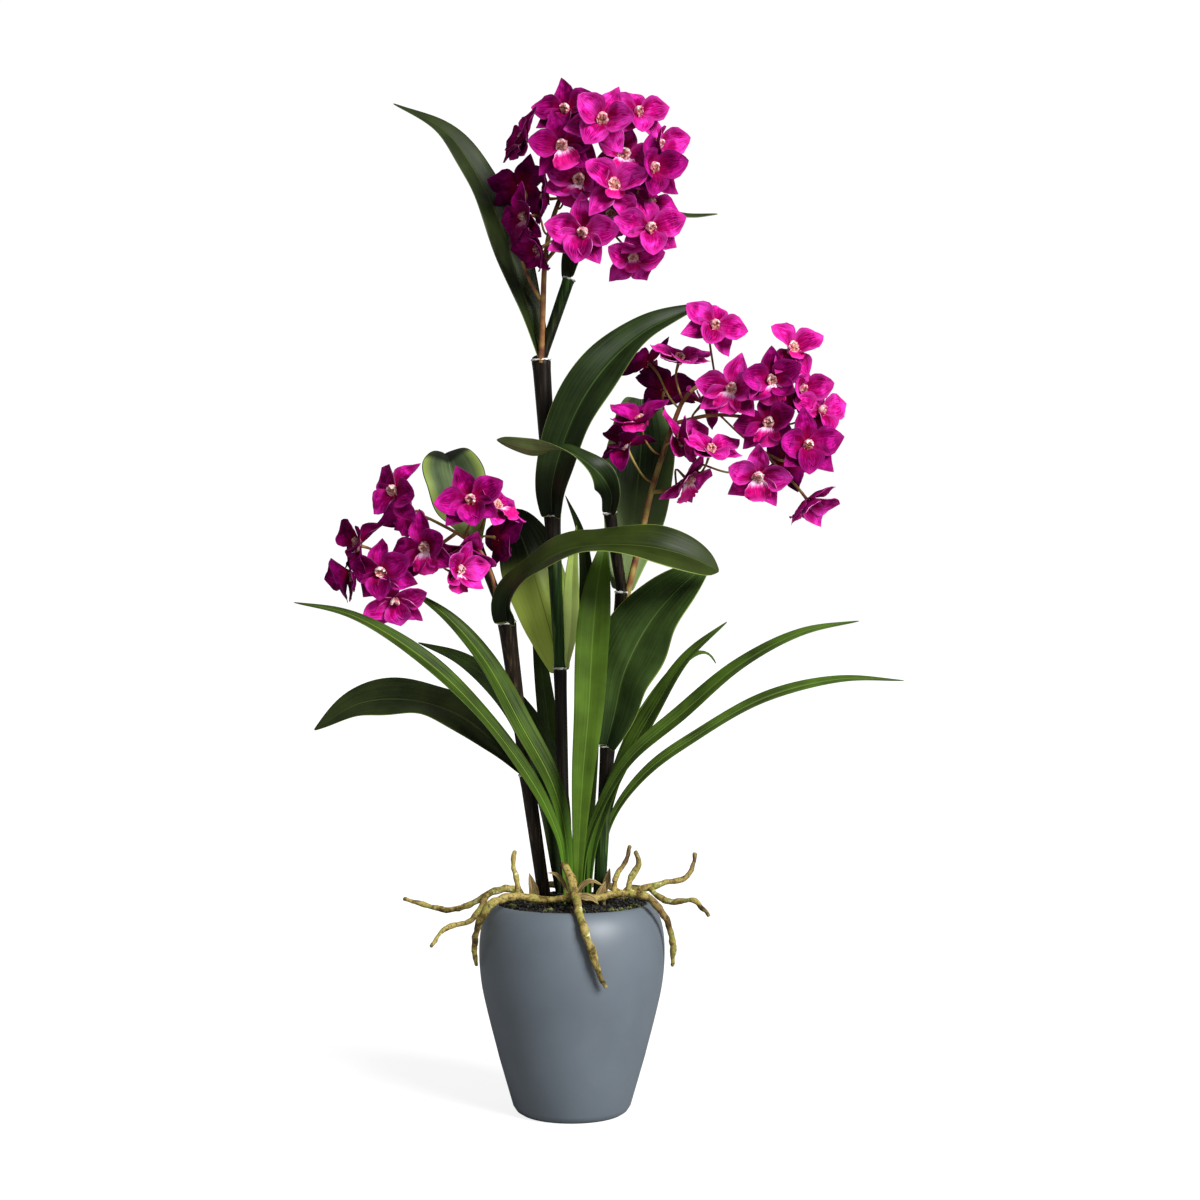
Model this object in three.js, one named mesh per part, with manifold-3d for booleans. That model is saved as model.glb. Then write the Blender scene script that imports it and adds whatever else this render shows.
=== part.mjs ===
// A potted dendrobium orchid: a satin pot filled with soil, three dark canes with their leaves and flower
// sprays, a crown of narrow strap leaves, and tan roots that creep out over the rim.
// Millimetres, +Z up, +X to the right, +Y to the back. The origin is the middle of the pot's flat foot.
import * as THREE from "three";
import { mergeVertices } from "three/addons/utils/BufferGeometryUtils.js";
import Module from "manifold-3d";

const wasm = await Module();
wasm.setup();

// Driving dimensions
const GAP = 0.3; // clearance between pieces that touch
const GRID = 0.01; // every point of a finished piece lies on this grid
const POT_SEGMENTS = 28;
const POT_FLOOR = 7;
const SOIL_DEPTH = 34; // granules over the filler block
const SOIL_CROWN = 193; // height of the soil at the middle
const SOIL_EDGE = 183; // height of the soil at the wall
const CANE_FOOT = 128; // height of the canes' lower ends, in the filler
const LEAF_THICKNESS = 1.0;
const LEAF_FOLD = 0.25; // how steeply a leaf's halves rise from its midrib, at its foot
const TEPAL_THICKNESS = 1.2;
const PEDICEL_RADIUS = 1.1;
const COLUMN_LENGTH = 7;
const JOINT_SPACING = 9; // from one pedicel's foot to the next, along a stalk

// The pot's outside and inside, as radius and height
const POT_OUTSIDE = [
  [0, 0], [46, 0], [50, 2.5], [53, 7], [65.5, 50], [76.5, 93],
  [81.3, 116], [83.4, 140], [82.6, 160], [79.8, 173], [75.5, 182], [71, 187], [68, 188],
];
const RIM_INSIDE = [66, 186];
const POT_INSIDE = [
  RIM_INSIDE,
  [75, 175], [78.6, 160], [79.4, 140], [77.3, 116], [72.5, 93], [61.5, 50], [50.5, POT_FLOOR],
];

const toVector = ([x, y, z]) => new THREE.Vector3(x, y, z);
const mix = THREE.MathUtils.lerp;
const radians = THREE.MathUtils.degToRad;

// A repeatable stream of numbers from 0 to 1
function seeded(seed) {
  let state = seed;
  return () => {
    state = (state * 16807) % 2147483647;
    return state / 2147483647;
  };
}

// ---- Solids -------------------------------------------------------------------------------------

function toSolid(geometry) {
  const bare = geometry.clone();
  bare.deleteAttribute("normal");
  bare.deleteAttribute("uv");
  const merged = mergeVertices(bare, 1e-4);
  const mesh = new wasm.Mesh({
    numProp: 3,
    vertProperties: merged.attributes.position.array,
    triVerts: new Uint32Array(merged.index.array),
  });
  return new wasm.Manifold(mesh);
}

// The skin of a solid, on a grid fine enough not to show: where two pieces were joined, points closer than
// that become one, and the slivers between them go.
function toGeometry(solid) {
  const mesh = solid.getMesh();
  const onGrid = mesh.vertProperties.map((value) => Math.round(value / GRID) * GRID);
  const geometry = new THREE.BufferGeometry();
  geometry.setAttribute("position", new THREE.BufferAttribute(onGrid, mesh.numProp));
  geometry.setIndex(new THREE.BufferAttribute(mesh.triVerts, 1));
  const welded = mergeVertices(geometry, GRID / 10);
  const corners = [...welded.index.array];
  const kept = [];
  for (let i = 0; i < corners.length; i += 3) {
    const [a, b, c] = corners.slice(i, i + 3);
    if (a !== b && b !== c && c !== a) kept.push(a, b, c);
  }
  welded.setIndex(kept);
  return welded;
}

const join = (solids) => solids.reduce((whole, one) => whole.add(one));

// What a cut leaves behind is the largest body: scraps on the far side of a stem are dropped.
function cutRound(solid, neighbours) {
  const left = neighbours.reduce((rest, one) => rest.subtract(one), solid);
  return left.decompose().reduce((best, one) => (one.volume() > best.volume() ? one : best));
}

function indexed(points, triangles) {
  const geometry = new THREE.BufferGeometry();
  geometry.setAttribute("position", new THREE.Float32BufferAttribute(points.flatMap((p) => p.toArray()), 3));
  geometry.setIndex(triangles);
  return geometry;
}

// How far a piece grown for a cut reaches past its two ends: -1 at the first station, 1 at the last
const endOf = (i, last) => (i === 0 ? -1 : 0) + (i === last ? 1 : 0);

// A round limb along a route of [x, y, z, radius] points: a cylinder bent onto the route's curve. `grow`
// makes the same limb larger all over, to cut the room for it into a neighbour.
function limb(route, { sides = 6, steps = 2, grow = 0 } = {}) {
  const curve = new THREE.CatmullRomCurve3(route.map(toVector), false, "centripetal");
  const spans = (route.length - 1) * steps;
  const rings = [];
  let normal = new THREE.Vector3(0.31, 0.95, 0.05);
  for (let i = 0; i <= spans; i += 1) {
    const along = i / spans;
    const tangent = curve.getTangent(along);
    normal = normal.clone().addScaledVector(tangent, -normal.dot(tangent)).normalize();
    const before = Math.min(Math.floor(i / steps), route.length - 2);
    const radius = mix(route[before][3], route[before + 1][3], i / steps - before);
    const centre = curve.getPoint(along).addScaledVector(tangent, endOf(i, spans) * grow);
    rings.push({ centre, normal, side: normal.clone().cross(tangent), radius: radius + grow });
  }
  const geometry = new THREE.CylinderGeometry(1, 1, 1, sides, spans);
  const position = geometry.attributes.position;
  for (let i = 0; i < position.count; i += 1) {
    const ring = rings[Math.round((position.getY(i) + 0.5) * spans)];
    const point = ring.centre
      .clone()
      .addScaledVector(ring.normal, position.getX(i) * ring.radius)
      .addScaledVector(ring.side, position.getZ(i) * ring.radius);
    position.setXYZ(i, point.x, point.y, point.z);
  }
  return toSolid(geometry);
}

// How wide a leaf is along its length, from 0 to 1: a narrow foot, which widens the later the larger `rise`
// is, a full middle and a tip that is blunter the smaller its number.
function leafSwell(along, foot, peak, tip, rise) {
  if (along < peak) return mix(foot, 1, Math.sin((along / peak) * Math.PI * 0.5) ** rise);
  return Math.max(Math.cos(((along - peak) / (1 - peak)) * Math.PI * 0.5) ** tip, 0.03);
}

// A leaf blade folded along its midrib. `faces` says where its upper face looks, from foot to tip, and
// `gutter` how steep the fold is at its tip.
function blade(shape, grow = 0) {
  const { route, faces, width, foot = 0.35, peak = 0.45, tip = 0.8, rise = 1, steps = 8 } = shape;
  const { gutter = LEAF_FOLD } = shape;
  const curve = new THREE.CatmullRomCurve3(route.map(toVector), false, "centripetal");
  const points = [];
  for (let i = 0; i <= steps; i += 1) {
    const along = i / steps;
    const tangent = curve.getTangentAt(along);
    const hint = Math.min(along * (faces.length - 1), faces.length - 1.001);
    const from = Math.floor(hint);
    const face = toVector(faces[from]).lerp(toVector(faces[from + 1]), hint - from);
    const up = face.addScaledVector(tangent, -face.dot(tangent)).normalize();
    const across = tangent.clone().cross(up);
    const half = (width / 2) * leafSwell(along, foot, peak, tip, rise) + grow;
    const centre = curve.getPointAt(along).addScaledVector(tangent, endOf(i, steps) * grow);
    const fold = mix(LEAF_FOLD, gutter, along);
    for (const layer of [-1, 1]) {
      for (const side of [-1, 0, 1]) {
        const lift = Math.abs(side) * fold * half + layer * (LEAF_THICKNESS / 2 + grow);
        points.push(centre.clone().addScaledVector(across, side * half).addScaledVector(up, lift));
      }
    }
  }
  const at = (i, layer, side) => i * 6 + layer * 3 + side;
  const triangles = [];
  const quad = (a, b, c, d) => triangles.push(a, b, c, a, c, d);
  for (let i = 0; i < steps; i += 1) {
    for (const side of [0, 1]) {
      quad(at(i, 1, side), at(i, 1, side + 1), at(i + 1, 1, side + 1), at(i + 1, 1, side));
      triangles.push(at(i, 0, side), at(i + 1, 0, side + 1), at(i, 0, side + 1));
      triangles.push(at(i, 0, side), at(i + 1, 0, side), at(i + 1, 0, side + 1));
    }
    quad(at(i, 0, 0), at(i, 1, 0), at(i + 1, 1, 0), at(i + 1, 0, 0));
    quad(at(i, 0, 2), at(i + 1, 0, 2), at(i + 1, 1, 2), at(i, 1, 2));
  }
  for (const side of [0, 1]) {
    quad(at(0, 0, side), at(0, 0, side + 1), at(0, 1, side + 1), at(0, 1, side));
    quad(at(steps, 0, side), at(steps, 1, side), at(steps, 1, side + 1), at(steps, 0, side + 1));
  }
  return toSolid(indexed(points, triangles));
}

// ---- Pot, filler and soil -----------------------------------------------------------------------

function turned(profile) {
  const outline = profile.map(([radius, height]) => new THREE.Vector2(radius, height));
  return new THREE.LatheGeometry(outline, POT_SEGMENTS).rotateX(Math.PI / 2);
}

const pot = () => toSolid(turned([...POT_OUTSIDE, ...POT_INSIDE, [0, POT_FLOOR]]));

// What fills the pot between two heights, a gap away from its wall: [radius, height] from low to high
function wallBetween(low, high) {
  const radiusAt = (height) => {
    const below = POT_INSIDE.findIndex(([, level]) => level <= height);
    const [[above, top], [under, foot]] = [POT_INSIDE[below - 1], POT_INSIDE[below]];
    return mix(under, above, (height - foot) / (top - foot));
  };
  const bends = POT_INSIDE.map(([, level]) => level).filter((level) => level > low && level < high).reverse();
  return [low, ...bends, high].map((level) => [radiusAt(level) - GAP, level]);
}

const SOIL_FLOOR = SOIL_EDGE - SOIL_DEPTH;

function filler() {
  const foot = POT_FLOOR + GAP;
  const top = SOIL_FLOOR - GAP;
  return toSolid(turned([[0, foot], ...wallBetween(foot, top), [0, top]]));
}

// The top is mounded towards the crown, and lumpy by a sum of waves.
function soil() {
  const wall = wallBetween(SOIL_FLOOR, SOIL_EDGE);
  const edge = wall.at(-1)[0];
  const reaches = [48, 25, 0];
  const mound = (radius) => mix(SOIL_EDGE, SOIL_CROWN, Math.cos((radius / edge) * Math.PI * 0.5) ** 1.2);
  const geometry = turned([[0, SOIL_FLOOR], ...wall, ...reaches.map((radius) => [radius, mound(radius)])]);
  const position = geometry.attributes.position;
  for (let i = 0; i < position.count; i += 1) {
    const [x, y, z] = [position.getX(i), position.getY(i), position.getZ(i)];
    const inwards = 1 - Math.hypot(x, y) / edge;
    const lump = Math.sin(x * 0.31 + 1.3) * Math.cos(y * 0.27) + 0.6 * Math.sin(x * 0.71 - y * 0.53);
    if (z > SOIL_EDGE - 1 && inwards > 0.05) position.setZ(i, z + lump);
  }
  return toSolid(geometry);
}

// ---- Canes --------------------------------------------------------------------------------------

// A cane's joints are [x, y, z, radius]. Each internode leaves a narrow neck and flares to a collar at its
// joint.
function cane(joints, grow) {
  const route = [joints[0]];
  for (let i = 1; i < joints.length; i += 1) {
    const [from, to] = [joints[i - 1], joints[i]];
    const between = (part) => from.slice(0, 3).map((value, axis) => mix(value, to[axis], part));
    const neck = Math.min(from[3], to[3]) * 0.86;
    if (i > 1) route.push([...between(0.05), neck]);
    route.push([...between(0.5), mix(neck, to[3], 0.3)]);
    route.push([...between(0.94), to[3] * 0.97]);
    route.push([...to.slice(0, 3), to[3] + 0.5]);
  }
  return limb(route, { sides: 8, steps: 1, grow });
}

const CANES = {
  cane_tall: [
    [-4, 13, CANE_FOOT, 5], [-11, 14, 398, 6], [-18, 12, 536, 7.6],
    [-28, 8, 677, 8.6], [-3, 8, 750, 5.6],
  ],
  cane_right: [[21, 5, CANE_FOOT, 6], [32, 2, 328, 6.8], [45, 4, 467, 6.2], [34, -8, 538, 5.8]],
  cane_left: [[-16, 14, CANE_FOOT, 6.4], [-41, 2, 303, 6.8], [-58, -16, 440, 8.2], [-85, 0, 509, 5]],
};

// ---- Leaves -------------------------------------------------------------------------------------

const TO_VIEW = [0, -1, 0];
const BROAD_LEAVES = {
  leaf_top_left: {
    route: [
      [-28, 8, 679], [-37, 3, 714], [-50, 6, 756], [-65, 14, 800],
      [-86, 24, 845], [-116, 30, 888], [-164, 26, 913],
    ],
    faces: [[0.6, -0.8, 0.2], [0.5, -0.85, 0.3], [0.2, -0.5, 0.8]],
    width: 40,
  },
  leaf_top_right: {
    route: [
      [-3, 8, 750], [1, 16, 770], [14, 34, 795], [40, 52, 814],
      [76, 66, 822], [107, 74, 818], [136, 80, 822],
    ],
    faces: [[-0.4, -0.9, 0.2], [-0.3, -0.5, 0.8], [0, -0.4, 0.9]],
    width: 34,
  },
  leaf_high_right: {
    route: [
      [-18, 8, 536], [-18, -8, 561], [-8, -20, 598], [10, -26, 638],
      [34, -24, 671], [68, -14, 701], [121, 4, 728],
    ],
    faces: [[-0.2, -1, 0], [-0.3, -0.9, 0.3], [-0.3, -0.7, 0.6]],
    width: 45,
    foot: 0.4,
  },
  leaf_arched_left: {
    route: [
      [34, -12, 538], [36, -22, 552], [30, -34, 565], [19, -43, 576],
      [6, -49, 585], [-6, -53, 591], [-34, -52, 592], [-66, -42, 601],
    ],
    faces: [[-0.4, -0.9, -0.3], [-0.3, -0.9, 0.3], [0, -0.5, 0.9], [0, 0.6, 0.75], [0.1, 0.7, 0.6]],
    width: 28,
    foot: 0.45,
    tip: 0.5,
    steps: 12,
  },
  leaf_front_arch: {
    route: [
      [-57, -27, 440], [-58, -36, 457], [-49, -47, 473], [-30, -60, 489],
      [-3, -71, 503], [25, -78, 507], [51, -81, 507], [77, -80, 504], [103, -73, 497], [129, -62, 485],
    ],
    faces: [[-0.8, -0.6, 0.1], [-0.45, -0.45, 0.75], [0, -0.42, 0.9], [0.1, -0.72, 0.68], [0.2, -0.85, 0.5]],
    width: 52,
    foot: 0.4,
    peak: 0.66,
    tip: 0.5,
    steps: 12,
  },
  leaf_right_broad: {
    route: [[31, -4, 329], [38, -16, 357], [47, -26, 396], [68, -36, 438], [96, -40, 471], [125, -34, 495]],
    faces: [[-0.3, -0.95, 0], [-0.4, -0.9, 0.2], [-0.4, -0.8, 0.4]],
    width: 66,
    foot: 0.3,
    peak: 0.5,
  },
  leaf_behind_right: {
    route: [
      [45, 12, 467], [51, 28, 506], [58, 42, 552], [63, 54, 599],
      [64, 64, 635], [64, 80, 649], [63, 96, 638],
    ],
    faces: [TO_VIEW, TO_VIEW, [0, -0.9, 0.4], [0, 0.3, 1]],
    width: 66,
    foot: 0.3,
    peak: 0.55,
  },
  leaf_behind_left: {
    route: [[-11, 20, 396], [-22, 34, 437], [-34, 44, 478], [-46, 46, 515], [-58, 36, 535], [-74, 22, 532]],
    faces: [[-0.1, 1, 0], [-0.1, 1, 0.2], [-0.2, 0.3, 0.9]],
    width: 58,
    foot: 0.3,
    peak: 0.55,
  },
  leaf_folded_tip: {
    route: [
      [-87, 9, 510], [-96, 17, 537], [-106, 22, 562], [-111, 27, 577],
      [-114, 36, 588], [-118, 49, 595],
    ],
    faces: [[0.1, -1, 0.1], [0, -1, 0.1], [0, -0.8, 0.5], [0, -0.2, 1]],
    width: 56,
    foot: 0.2,
    peak: 0.62,
    gutter: 0.68,
  },
  leaf_low_left: {
    route: [
      [-41, -2, 304], [-65, 10, 326], [-102, 24, 354], [-149, 34, 368],
      [-195, 36, 365], [-236, 28, 341],
    ],
    faces: [[0.3, -0.9, 0.4], [0.2, -0.7, 0.7], [-0.1, -0.7, 0.7]],
    width: 46,
    foot: 0.3,
    peak: 0.6,
  },
  leaf_light: {
    route: [[-6, 13, 399], [-2, 17, 430], [-1, 18, 465], [1, 16, 500], [4, 12, 528]],
    faces: [TO_VIEW, TO_VIEW],
    width: 15,
    peak: 0.4,
  },
};

const TO_LEFT_STRAP = [[0.5, -0.8, 0.1], [0.5, -0.6, 0.6], [0.1, -0.5, 0.85]];
const TO_RIGHT_STRAP = [[-0.5, -0.8, 0.1], [-0.5, -0.6, 0.6], [-0.1, -0.5, 0.85]];
const STRAP_SHAPE = { foot: 0.18, peak: 0.62, rise: 1.6 };
const STRAP_LEAVES = {
  strap_far_left: {
    route: [
      [-5, -25, 178], [-9, -27, 240], [-19, -34, 269], [-36, -45, 302], [-79, -62, 361],
      [-130, -78, 411], [-189, -88, 447], [-238, -90, 458],
    ],
    faces: TO_LEFT_STRAP,
    width: 21,
    ...STRAP_SHAPE,
  },
  strap_left: {
    route: [
      [-1, -14, 178], [-5, -17, 245], [-17, -22, 295], [-46, -30, 350],
      [-77, -34, 406], [-109, -34, 444], [-143, -30, 469],
    ],
    faces: TO_LEFT_STRAP,
    width: 28,
    ...STRAP_SHAPE,
  },
  strap_left_back: {
    route: [[-8, 27, 176], [-19, 34, 277], [-37, 46, 333], [-68, 60, 375], [-104, 74, 404], [-146, 84, 420]],
    faces: [[0.3, -0.9, 0.2], [0.3, -0.8, 0.5], [0.2, -0.7, 0.7]],
    width: 34,
    foot: 0.25,
  },
  strap_centre: {
    route: [
      [5, -26, 178], [6, -32, 228], [10, -36, 305], [15, -38, 362],
      [19, -38, 430], [24, -34, 480], [31, -26, 518],
    ],
    faces: [TO_VIEW, TO_VIEW],
    width: 30,
    foot: 0.2,
    peak: 0.74,
    rise: 1.6,
  },
  strap_right_low: {
    route: [
      [23, 19, 176], [30, 21, 243], [42, 23, 272], [71, 26, 306], [112, 32, 334],
      [177, 38, 370], [246, 40, 387], [305, 38, 386],
    ],
    faces: TO_RIGHT_STRAP,
    width: 16,
    ...STRAP_SHAPE,
  },
  strap_right: {
    route: [
      [9, -16, 178], [12, -19, 235], [24, -25, 272], [51, -37, 319], [97, -52, 360],
      [148, -68, 404], [200, -78, 432], [249, -82, 442],
    ],
    faces: TO_RIGHT_STRAP,
    width: 20,
    ...STRAP_SHAPE,
  },
  strap_right_short: {
    route: [
      [15, -7, 178], [19, -9, 238], [31, -12, 278], [51, -15, 322],
      [74, -19, 363], [103, -26, 409], [138, -32, 441],
    ],
    faces: TO_RIGHT_STRAP,
    width: 23,
    ...STRAP_SHAPE,
  },
  strap_right_curl: {
    route: [
      [25, 29, 176], [28, 34, 241], [45, 42, 308], [76, 54, 367],
      [109, 66, 407], [126, 72, 411], [134, 76, 400],
    ],
    faces: TO_RIGHT_STRAP,
    width: 18,
    ...STRAP_SHAPE,
  },
  strap_back_tall: {
    route: [[10, 32, 176], [12, 42, 276], [14, 52, 368], [14, 58, 451], [8, 56, 520], [-7, 52, 557]],
    faces: [TO_VIEW, TO_VIEW],
    width: 22,
  },
  strap_back_left: {
    route: [[-2, 42, 176], [-14, 54, 275], [-25, 66, 362], [-33, 76, 423], [-38, 84, 469]],
    faces: [TO_VIEW, TO_VIEW],
    width: 20,
  },
};

const BRACTS = {
  bract_left: {
    route: [[-33, -8, 180], [-34, -12, 200], [-38, -14, 216]],
    faces: [TO_VIEW, TO_VIEW],
    width: 9,
    steps: 3,
  },
  bract_right: {
    route: [[24, -29, 180], [26, -29, 198], [30, -29, 211]],
    faces: [TO_VIEW, TO_VIEW],
    width: 10,
    steps: 3,
  },
};

// ---- Roots --------------------------------------------------------------------------------------

// Each root is a route of [x, y, z, radius]. Those of one bundle grow out of each other.
const ROOTS = {
  roots_front: [
    [[-8, -38, 229, 3], [0, -42, 214, 4.4], [3, -54, 202, 4], [6, -68, 194, 3.8], [9, -80, 184, 3.6],
      [14, -87, 170, 3.4], [20, -88, 152, 3.4], [25, -87, 138, 3], [31, -85, 126, 1.6]],
    [[3, -50, 201, 3.4], [-17, -42, 196, 3.4], [-37, -40, 198, 3.2], [-54, -44, 199, 3.6],
      [-68, -50, 195, 3.4], [-80, -46, 179, 3.4], [-86, -30, 156, 3], [-85, -20, 134, 1.6]],
    [[-47, -41, 198, 3], [-48, -36, 212, 2.8], [-52, -32, 225, 2.6], [-50, -30, 239, 1.6]],
    [[2, -50, 202, 3], [22, -38, 197, 3.2], [38, -34, 200, 3.4], [54, -34, 201, 3.6], [71, -37, 195, 3.4],
      [84, -32, 177, 3.2], [90, -22, 153, 3], [90, -14, 132, 1.8]],
    [[38, -34, 200, 3], [39, -26, 214, 2.4], [47, -22, 226, 2], [52, -20, 242, 1.2]],
    [[50, -34, 201, 3.2], [53, -30, 215, 3.2], [60, -28, 226, 3], [56, -28, 238, 2]],
  ],
  roots_left: [
    [[-41, 0, 184, 3], [-47, -1, 197, 3.4], [-57, -1, 201, 3.4], [-72, -2, 197, 3.2], [-92, 2, 186, 3],
      [-110, 8, 180, 2.8], [-133, 14, 183, 2.4], [-154, 18, 189, 1.4]],
    [[-76, -4, 196, 3], [-83, -16, 183, 2.8], [-92, -26, 174, 2.6], [-110, -36, 171, 2.4],
      [-124, -44, 154, 1.4]],
  ],
  roots_right: [
    [[38, 8, 184, 3], [51, 8, 198, 3.2], [69, 8, 200, 3.2], [87, 10, 205, 3], [101, 14, 207, 2.6],
      [109, 18, 217, 2.2], [112, 22, 230, 1.4]],
    [[70, 6, 200, 3], [78, -6, 194, 2.8], [91, -16, 190, 2.8], [107, -26, 194, 2.6], [115, -30, 188, 2.4],
      [122, -34, 180, 1.4]],
  ],
  roots_back: [
    [[14, 52, 184, 3], [4, 56, 196, 3.4], [-14, 64, 196, 3.4], [-28, 74, 191, 3.2], [-34, 82, 174, 3],
      [-34, 83, 156, 2.6], [-40, 80, 142, 1.4]],
    [[5, 55, 196, 3], [20, 62, 196, 3.2], [34, 68, 194, 3.2], [46, 74, 182, 3], [50, 76, 164, 2.6],
      [49, 74, 148, 1.4]],
  ],
};

// ---- Flowers ------------------------------------------------------------------------------------

// A floret's six blades, in order round it from its upper sepal: three sepals, two broad petals that stand
// a little before them, and the lip, bent forward. `turn` is the way that a blade points, `until` where the
// next one starts.
// An outline is half a blade, from foot to tip, as [across, along] shares of its width and length.
const SEPAL = { width: 19, length: 28.5, outline: [[0.5, 0.46], [0, 1]], stand: 0, tilt: 0 };
const PETAL = { width: 27, length: 31, outline: [[0.5, 0.42], [0.34, 0.8], [0, 1]], stand: 1, tilt: 0 };
const LIP = { width: 21, length: 19, outline: [[0.5, 0.6], [0.3, 1], [0, 0.9]], stand: 1.5, tilt: 38 };
const BLADES = [
  { ...SEPAL, turn: 0, until: 36, valley: 7 },
  { ...PETAL, turn: 72, until: 107, valley: 6 },
  { ...SEPAL, turn: 138, until: 161, valley: 4 },
  { ...LIP, turn: 180, until: 199, valley: 4 },
  { ...SEPAL, turn: 222, until: 253, valley: 6 },
  { ...PETAL, turn: 288, until: 324, valley: 7 },
];

// A point of a blade, in the floret's own frame: +Z is its front, +Y its top
function bladePoint({ width, length, stand, tilt, turn }, [across, along]) {
  const bend = 3.2 * Math.sin(along * Math.PI * 0.6) - Math.abs(across) * 2.2;
  return new THREE.Vector3(across * width, along * length, bend + stand * Math.min(along * 4, 1))
    .applyAxisAngle(new THREE.Vector3(1, 0, 0), radians(tilt))
    .applyAxisAngle(new THREE.Vector3(0, 0, 1), radians(turn));
}

// Six points round a place, one where each pair of blades meets
function hexagon(centre, up, ahead, radius) {
  return BLADES.map(({ until }) => {
    const out = up.clone().applyAxisAngle(ahead, radians(until));
    return centre.clone().addScaledVector(out, radius);
  });
}

// One floret with its column and its pedicel, as one closed skin. `pedicel` runs from behind it to the stalk.
function floret(matrix, pedicel) {
  const points = [];
  const triangles = [];
  const add = (point) => points.push(point) - 1;
  const placed = (point) => add(point.clone().applyMatrix4(matrix));
  const [yAxis, zAxis] = [new THREE.Vector3(0, 1, 0), new THREE.Vector3(0, 0, 1)];
  const ringAt = (height, radius) => {
    return hexagon(zAxis.clone().multiplyScalar(height), yAxis, zAxis, radius).map(placed);
  };
  const wall = (low, high) => low.forEach((_, k) => {
    const next = (k + 1) % low.length;
    triangles.push(low[k], low[next], high[next], low[k], high[next], high[k]);
  });
  const front = ringAt(1, 2.6);
  const back = ringAt(-1.2, 2.2);
  const tip = ringAt(COLUMN_LENGTH, 1.3);
  wall(front, tip);
  for (let k = 1; k < tip.length - 1; k += 1) triangles.push(tip[0], tip[k], tip[k + 1]);

  const valleys = BLADES.map(({ until, valley }) => {
    return placed(new THREE.Vector3(0, valley, 0.4).applyAxisAngle(zAxis, radians(until)));
  });
  BLADES.forEach((shape, k) => {
    const before = (k + BLADES.length - 1) % BLADES.length;
    const right = shape.outline.map((share) => placed(bladePoint(shape, share)));
    const mirrored = shape.outline.slice(0, -1).map(([across, along]) => [-across, along]);
    const left = mirrored.map((share) => placed(bladePoint(shape, share)));
    const rim = [valleys[before], ...right, ...left.reverse(), valleys[k]];
    const spine = bladePoint(shape, [0, 0.5]);
    const crown = zAxis.clone().multiplyScalar(TEPAL_THICKNESS / 2);
    const [above, under] = [placed(spine.clone().add(crown)), placed(spine.clone().sub(crown))];
    const frontEdge = [front[before], ...rim, front[k]];
    const backEdge = [back[before], ...rim, back[k]];
    frontEdge.forEach((point, i) => triangles.push(above, point, frontEdge[(i + 1) % frontEdge.length]));
    backEdge.forEach((point, i) => triangles.push(under, backEdge[(i + 1) % backEdge.length], point));
  });

  let upper = back;
  let up = yAxis.clone().transformDirection(matrix);
  const route = [zAxis.clone().setLength(1.2).negate().applyMatrix4(matrix), ...pedicel];
  for (let i = 1; i < route.length; i += 1) {
    const ahead = route[i - 1].clone().sub(route[Math.min(i + 1, route.length - 1)]).normalize();
    up = up.addScaledVector(ahead, -up.dot(ahead)).normalize();
    const ring = hexagon(route[i], up, ahead, PEDICEL_RADIUS).map(add);
    wall(ring, upper);
    upper = ring;
  }
  for (let k = 1; k < upper.length - 1; k += 1) triangles.push(upper[0], upper[k + 1], upper[k]);
  return toSolid(indexed(points, triangles));
}

// The way that a floret looks: turned to the right from the viewer, then nodded up, in degrees
function lookOf(turn, nod) {
  const [t, n] = [radians(turn), radians(nod)];
  return new THREE.Vector3(Math.sin(t) * Math.cos(n), -Math.cos(t) * Math.cos(n), Math.sin(n));
}

function floretPlace(place, look, roll, size) {
  const right = new THREE.Vector3(-look.y, look.x, 0).normalize();
  const up = look.clone().cross(right);
  return new THREE.Matrix4()
    .makeBasis(right, up, look)
    .multiply(new THREE.Matrix4().makeRotationZ(roll))
    .scale(new THREE.Vector3(size, size, size))
    .setPosition(place);
}

// A spray: stalks as routes of [x, y, z, radius], and a floret on a curved pedicel for each of
// [x, y, z, turn, nod, size]. Each pedicel leaves the stalk at a joint of its own, the nearest one that is
// still free.
function spray({ stalks, florets, seed }) {
  const draw = seeded(seed);
  const joints = stalks.flatMap((route) => {
    const curve = new THREE.CatmullRomCurve3(route.map(toVector), false, "centripetal");
    return curve.getSpacedPoints(Math.ceil(curve.getLength() / JOINT_SPACING)).slice(1);
  });
  const solids = stalks.map((route) => limb(route, { sides: 5, steps: 1 }));
  for (const [x, y, z, turn, nod, size = 1] of florets) {
    const place = new THREE.Vector3(x, y, z);
    const look = lookOf(turn, nod);
    const matrix = floretPlace(place, look, (draw() - 0.5) * 0.5, size * (0.94 + draw() * 0.1));
    const behind = place.clone().addScaledVector(look, -13);
    const below = new THREE.Vector3(behind.x, behind.y, behind.z - 14);
    joints.sort((one, other) => one.distanceTo(below) - other.distanceTo(below));
    const root = joints.shift();
    const middle = behind.clone().lerp(root, 0.55).add(new THREE.Vector3(0, 0, -4));
    solids.push(floret(matrix, [behind, middle, root]));
  }
  return join(solids);
}

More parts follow.
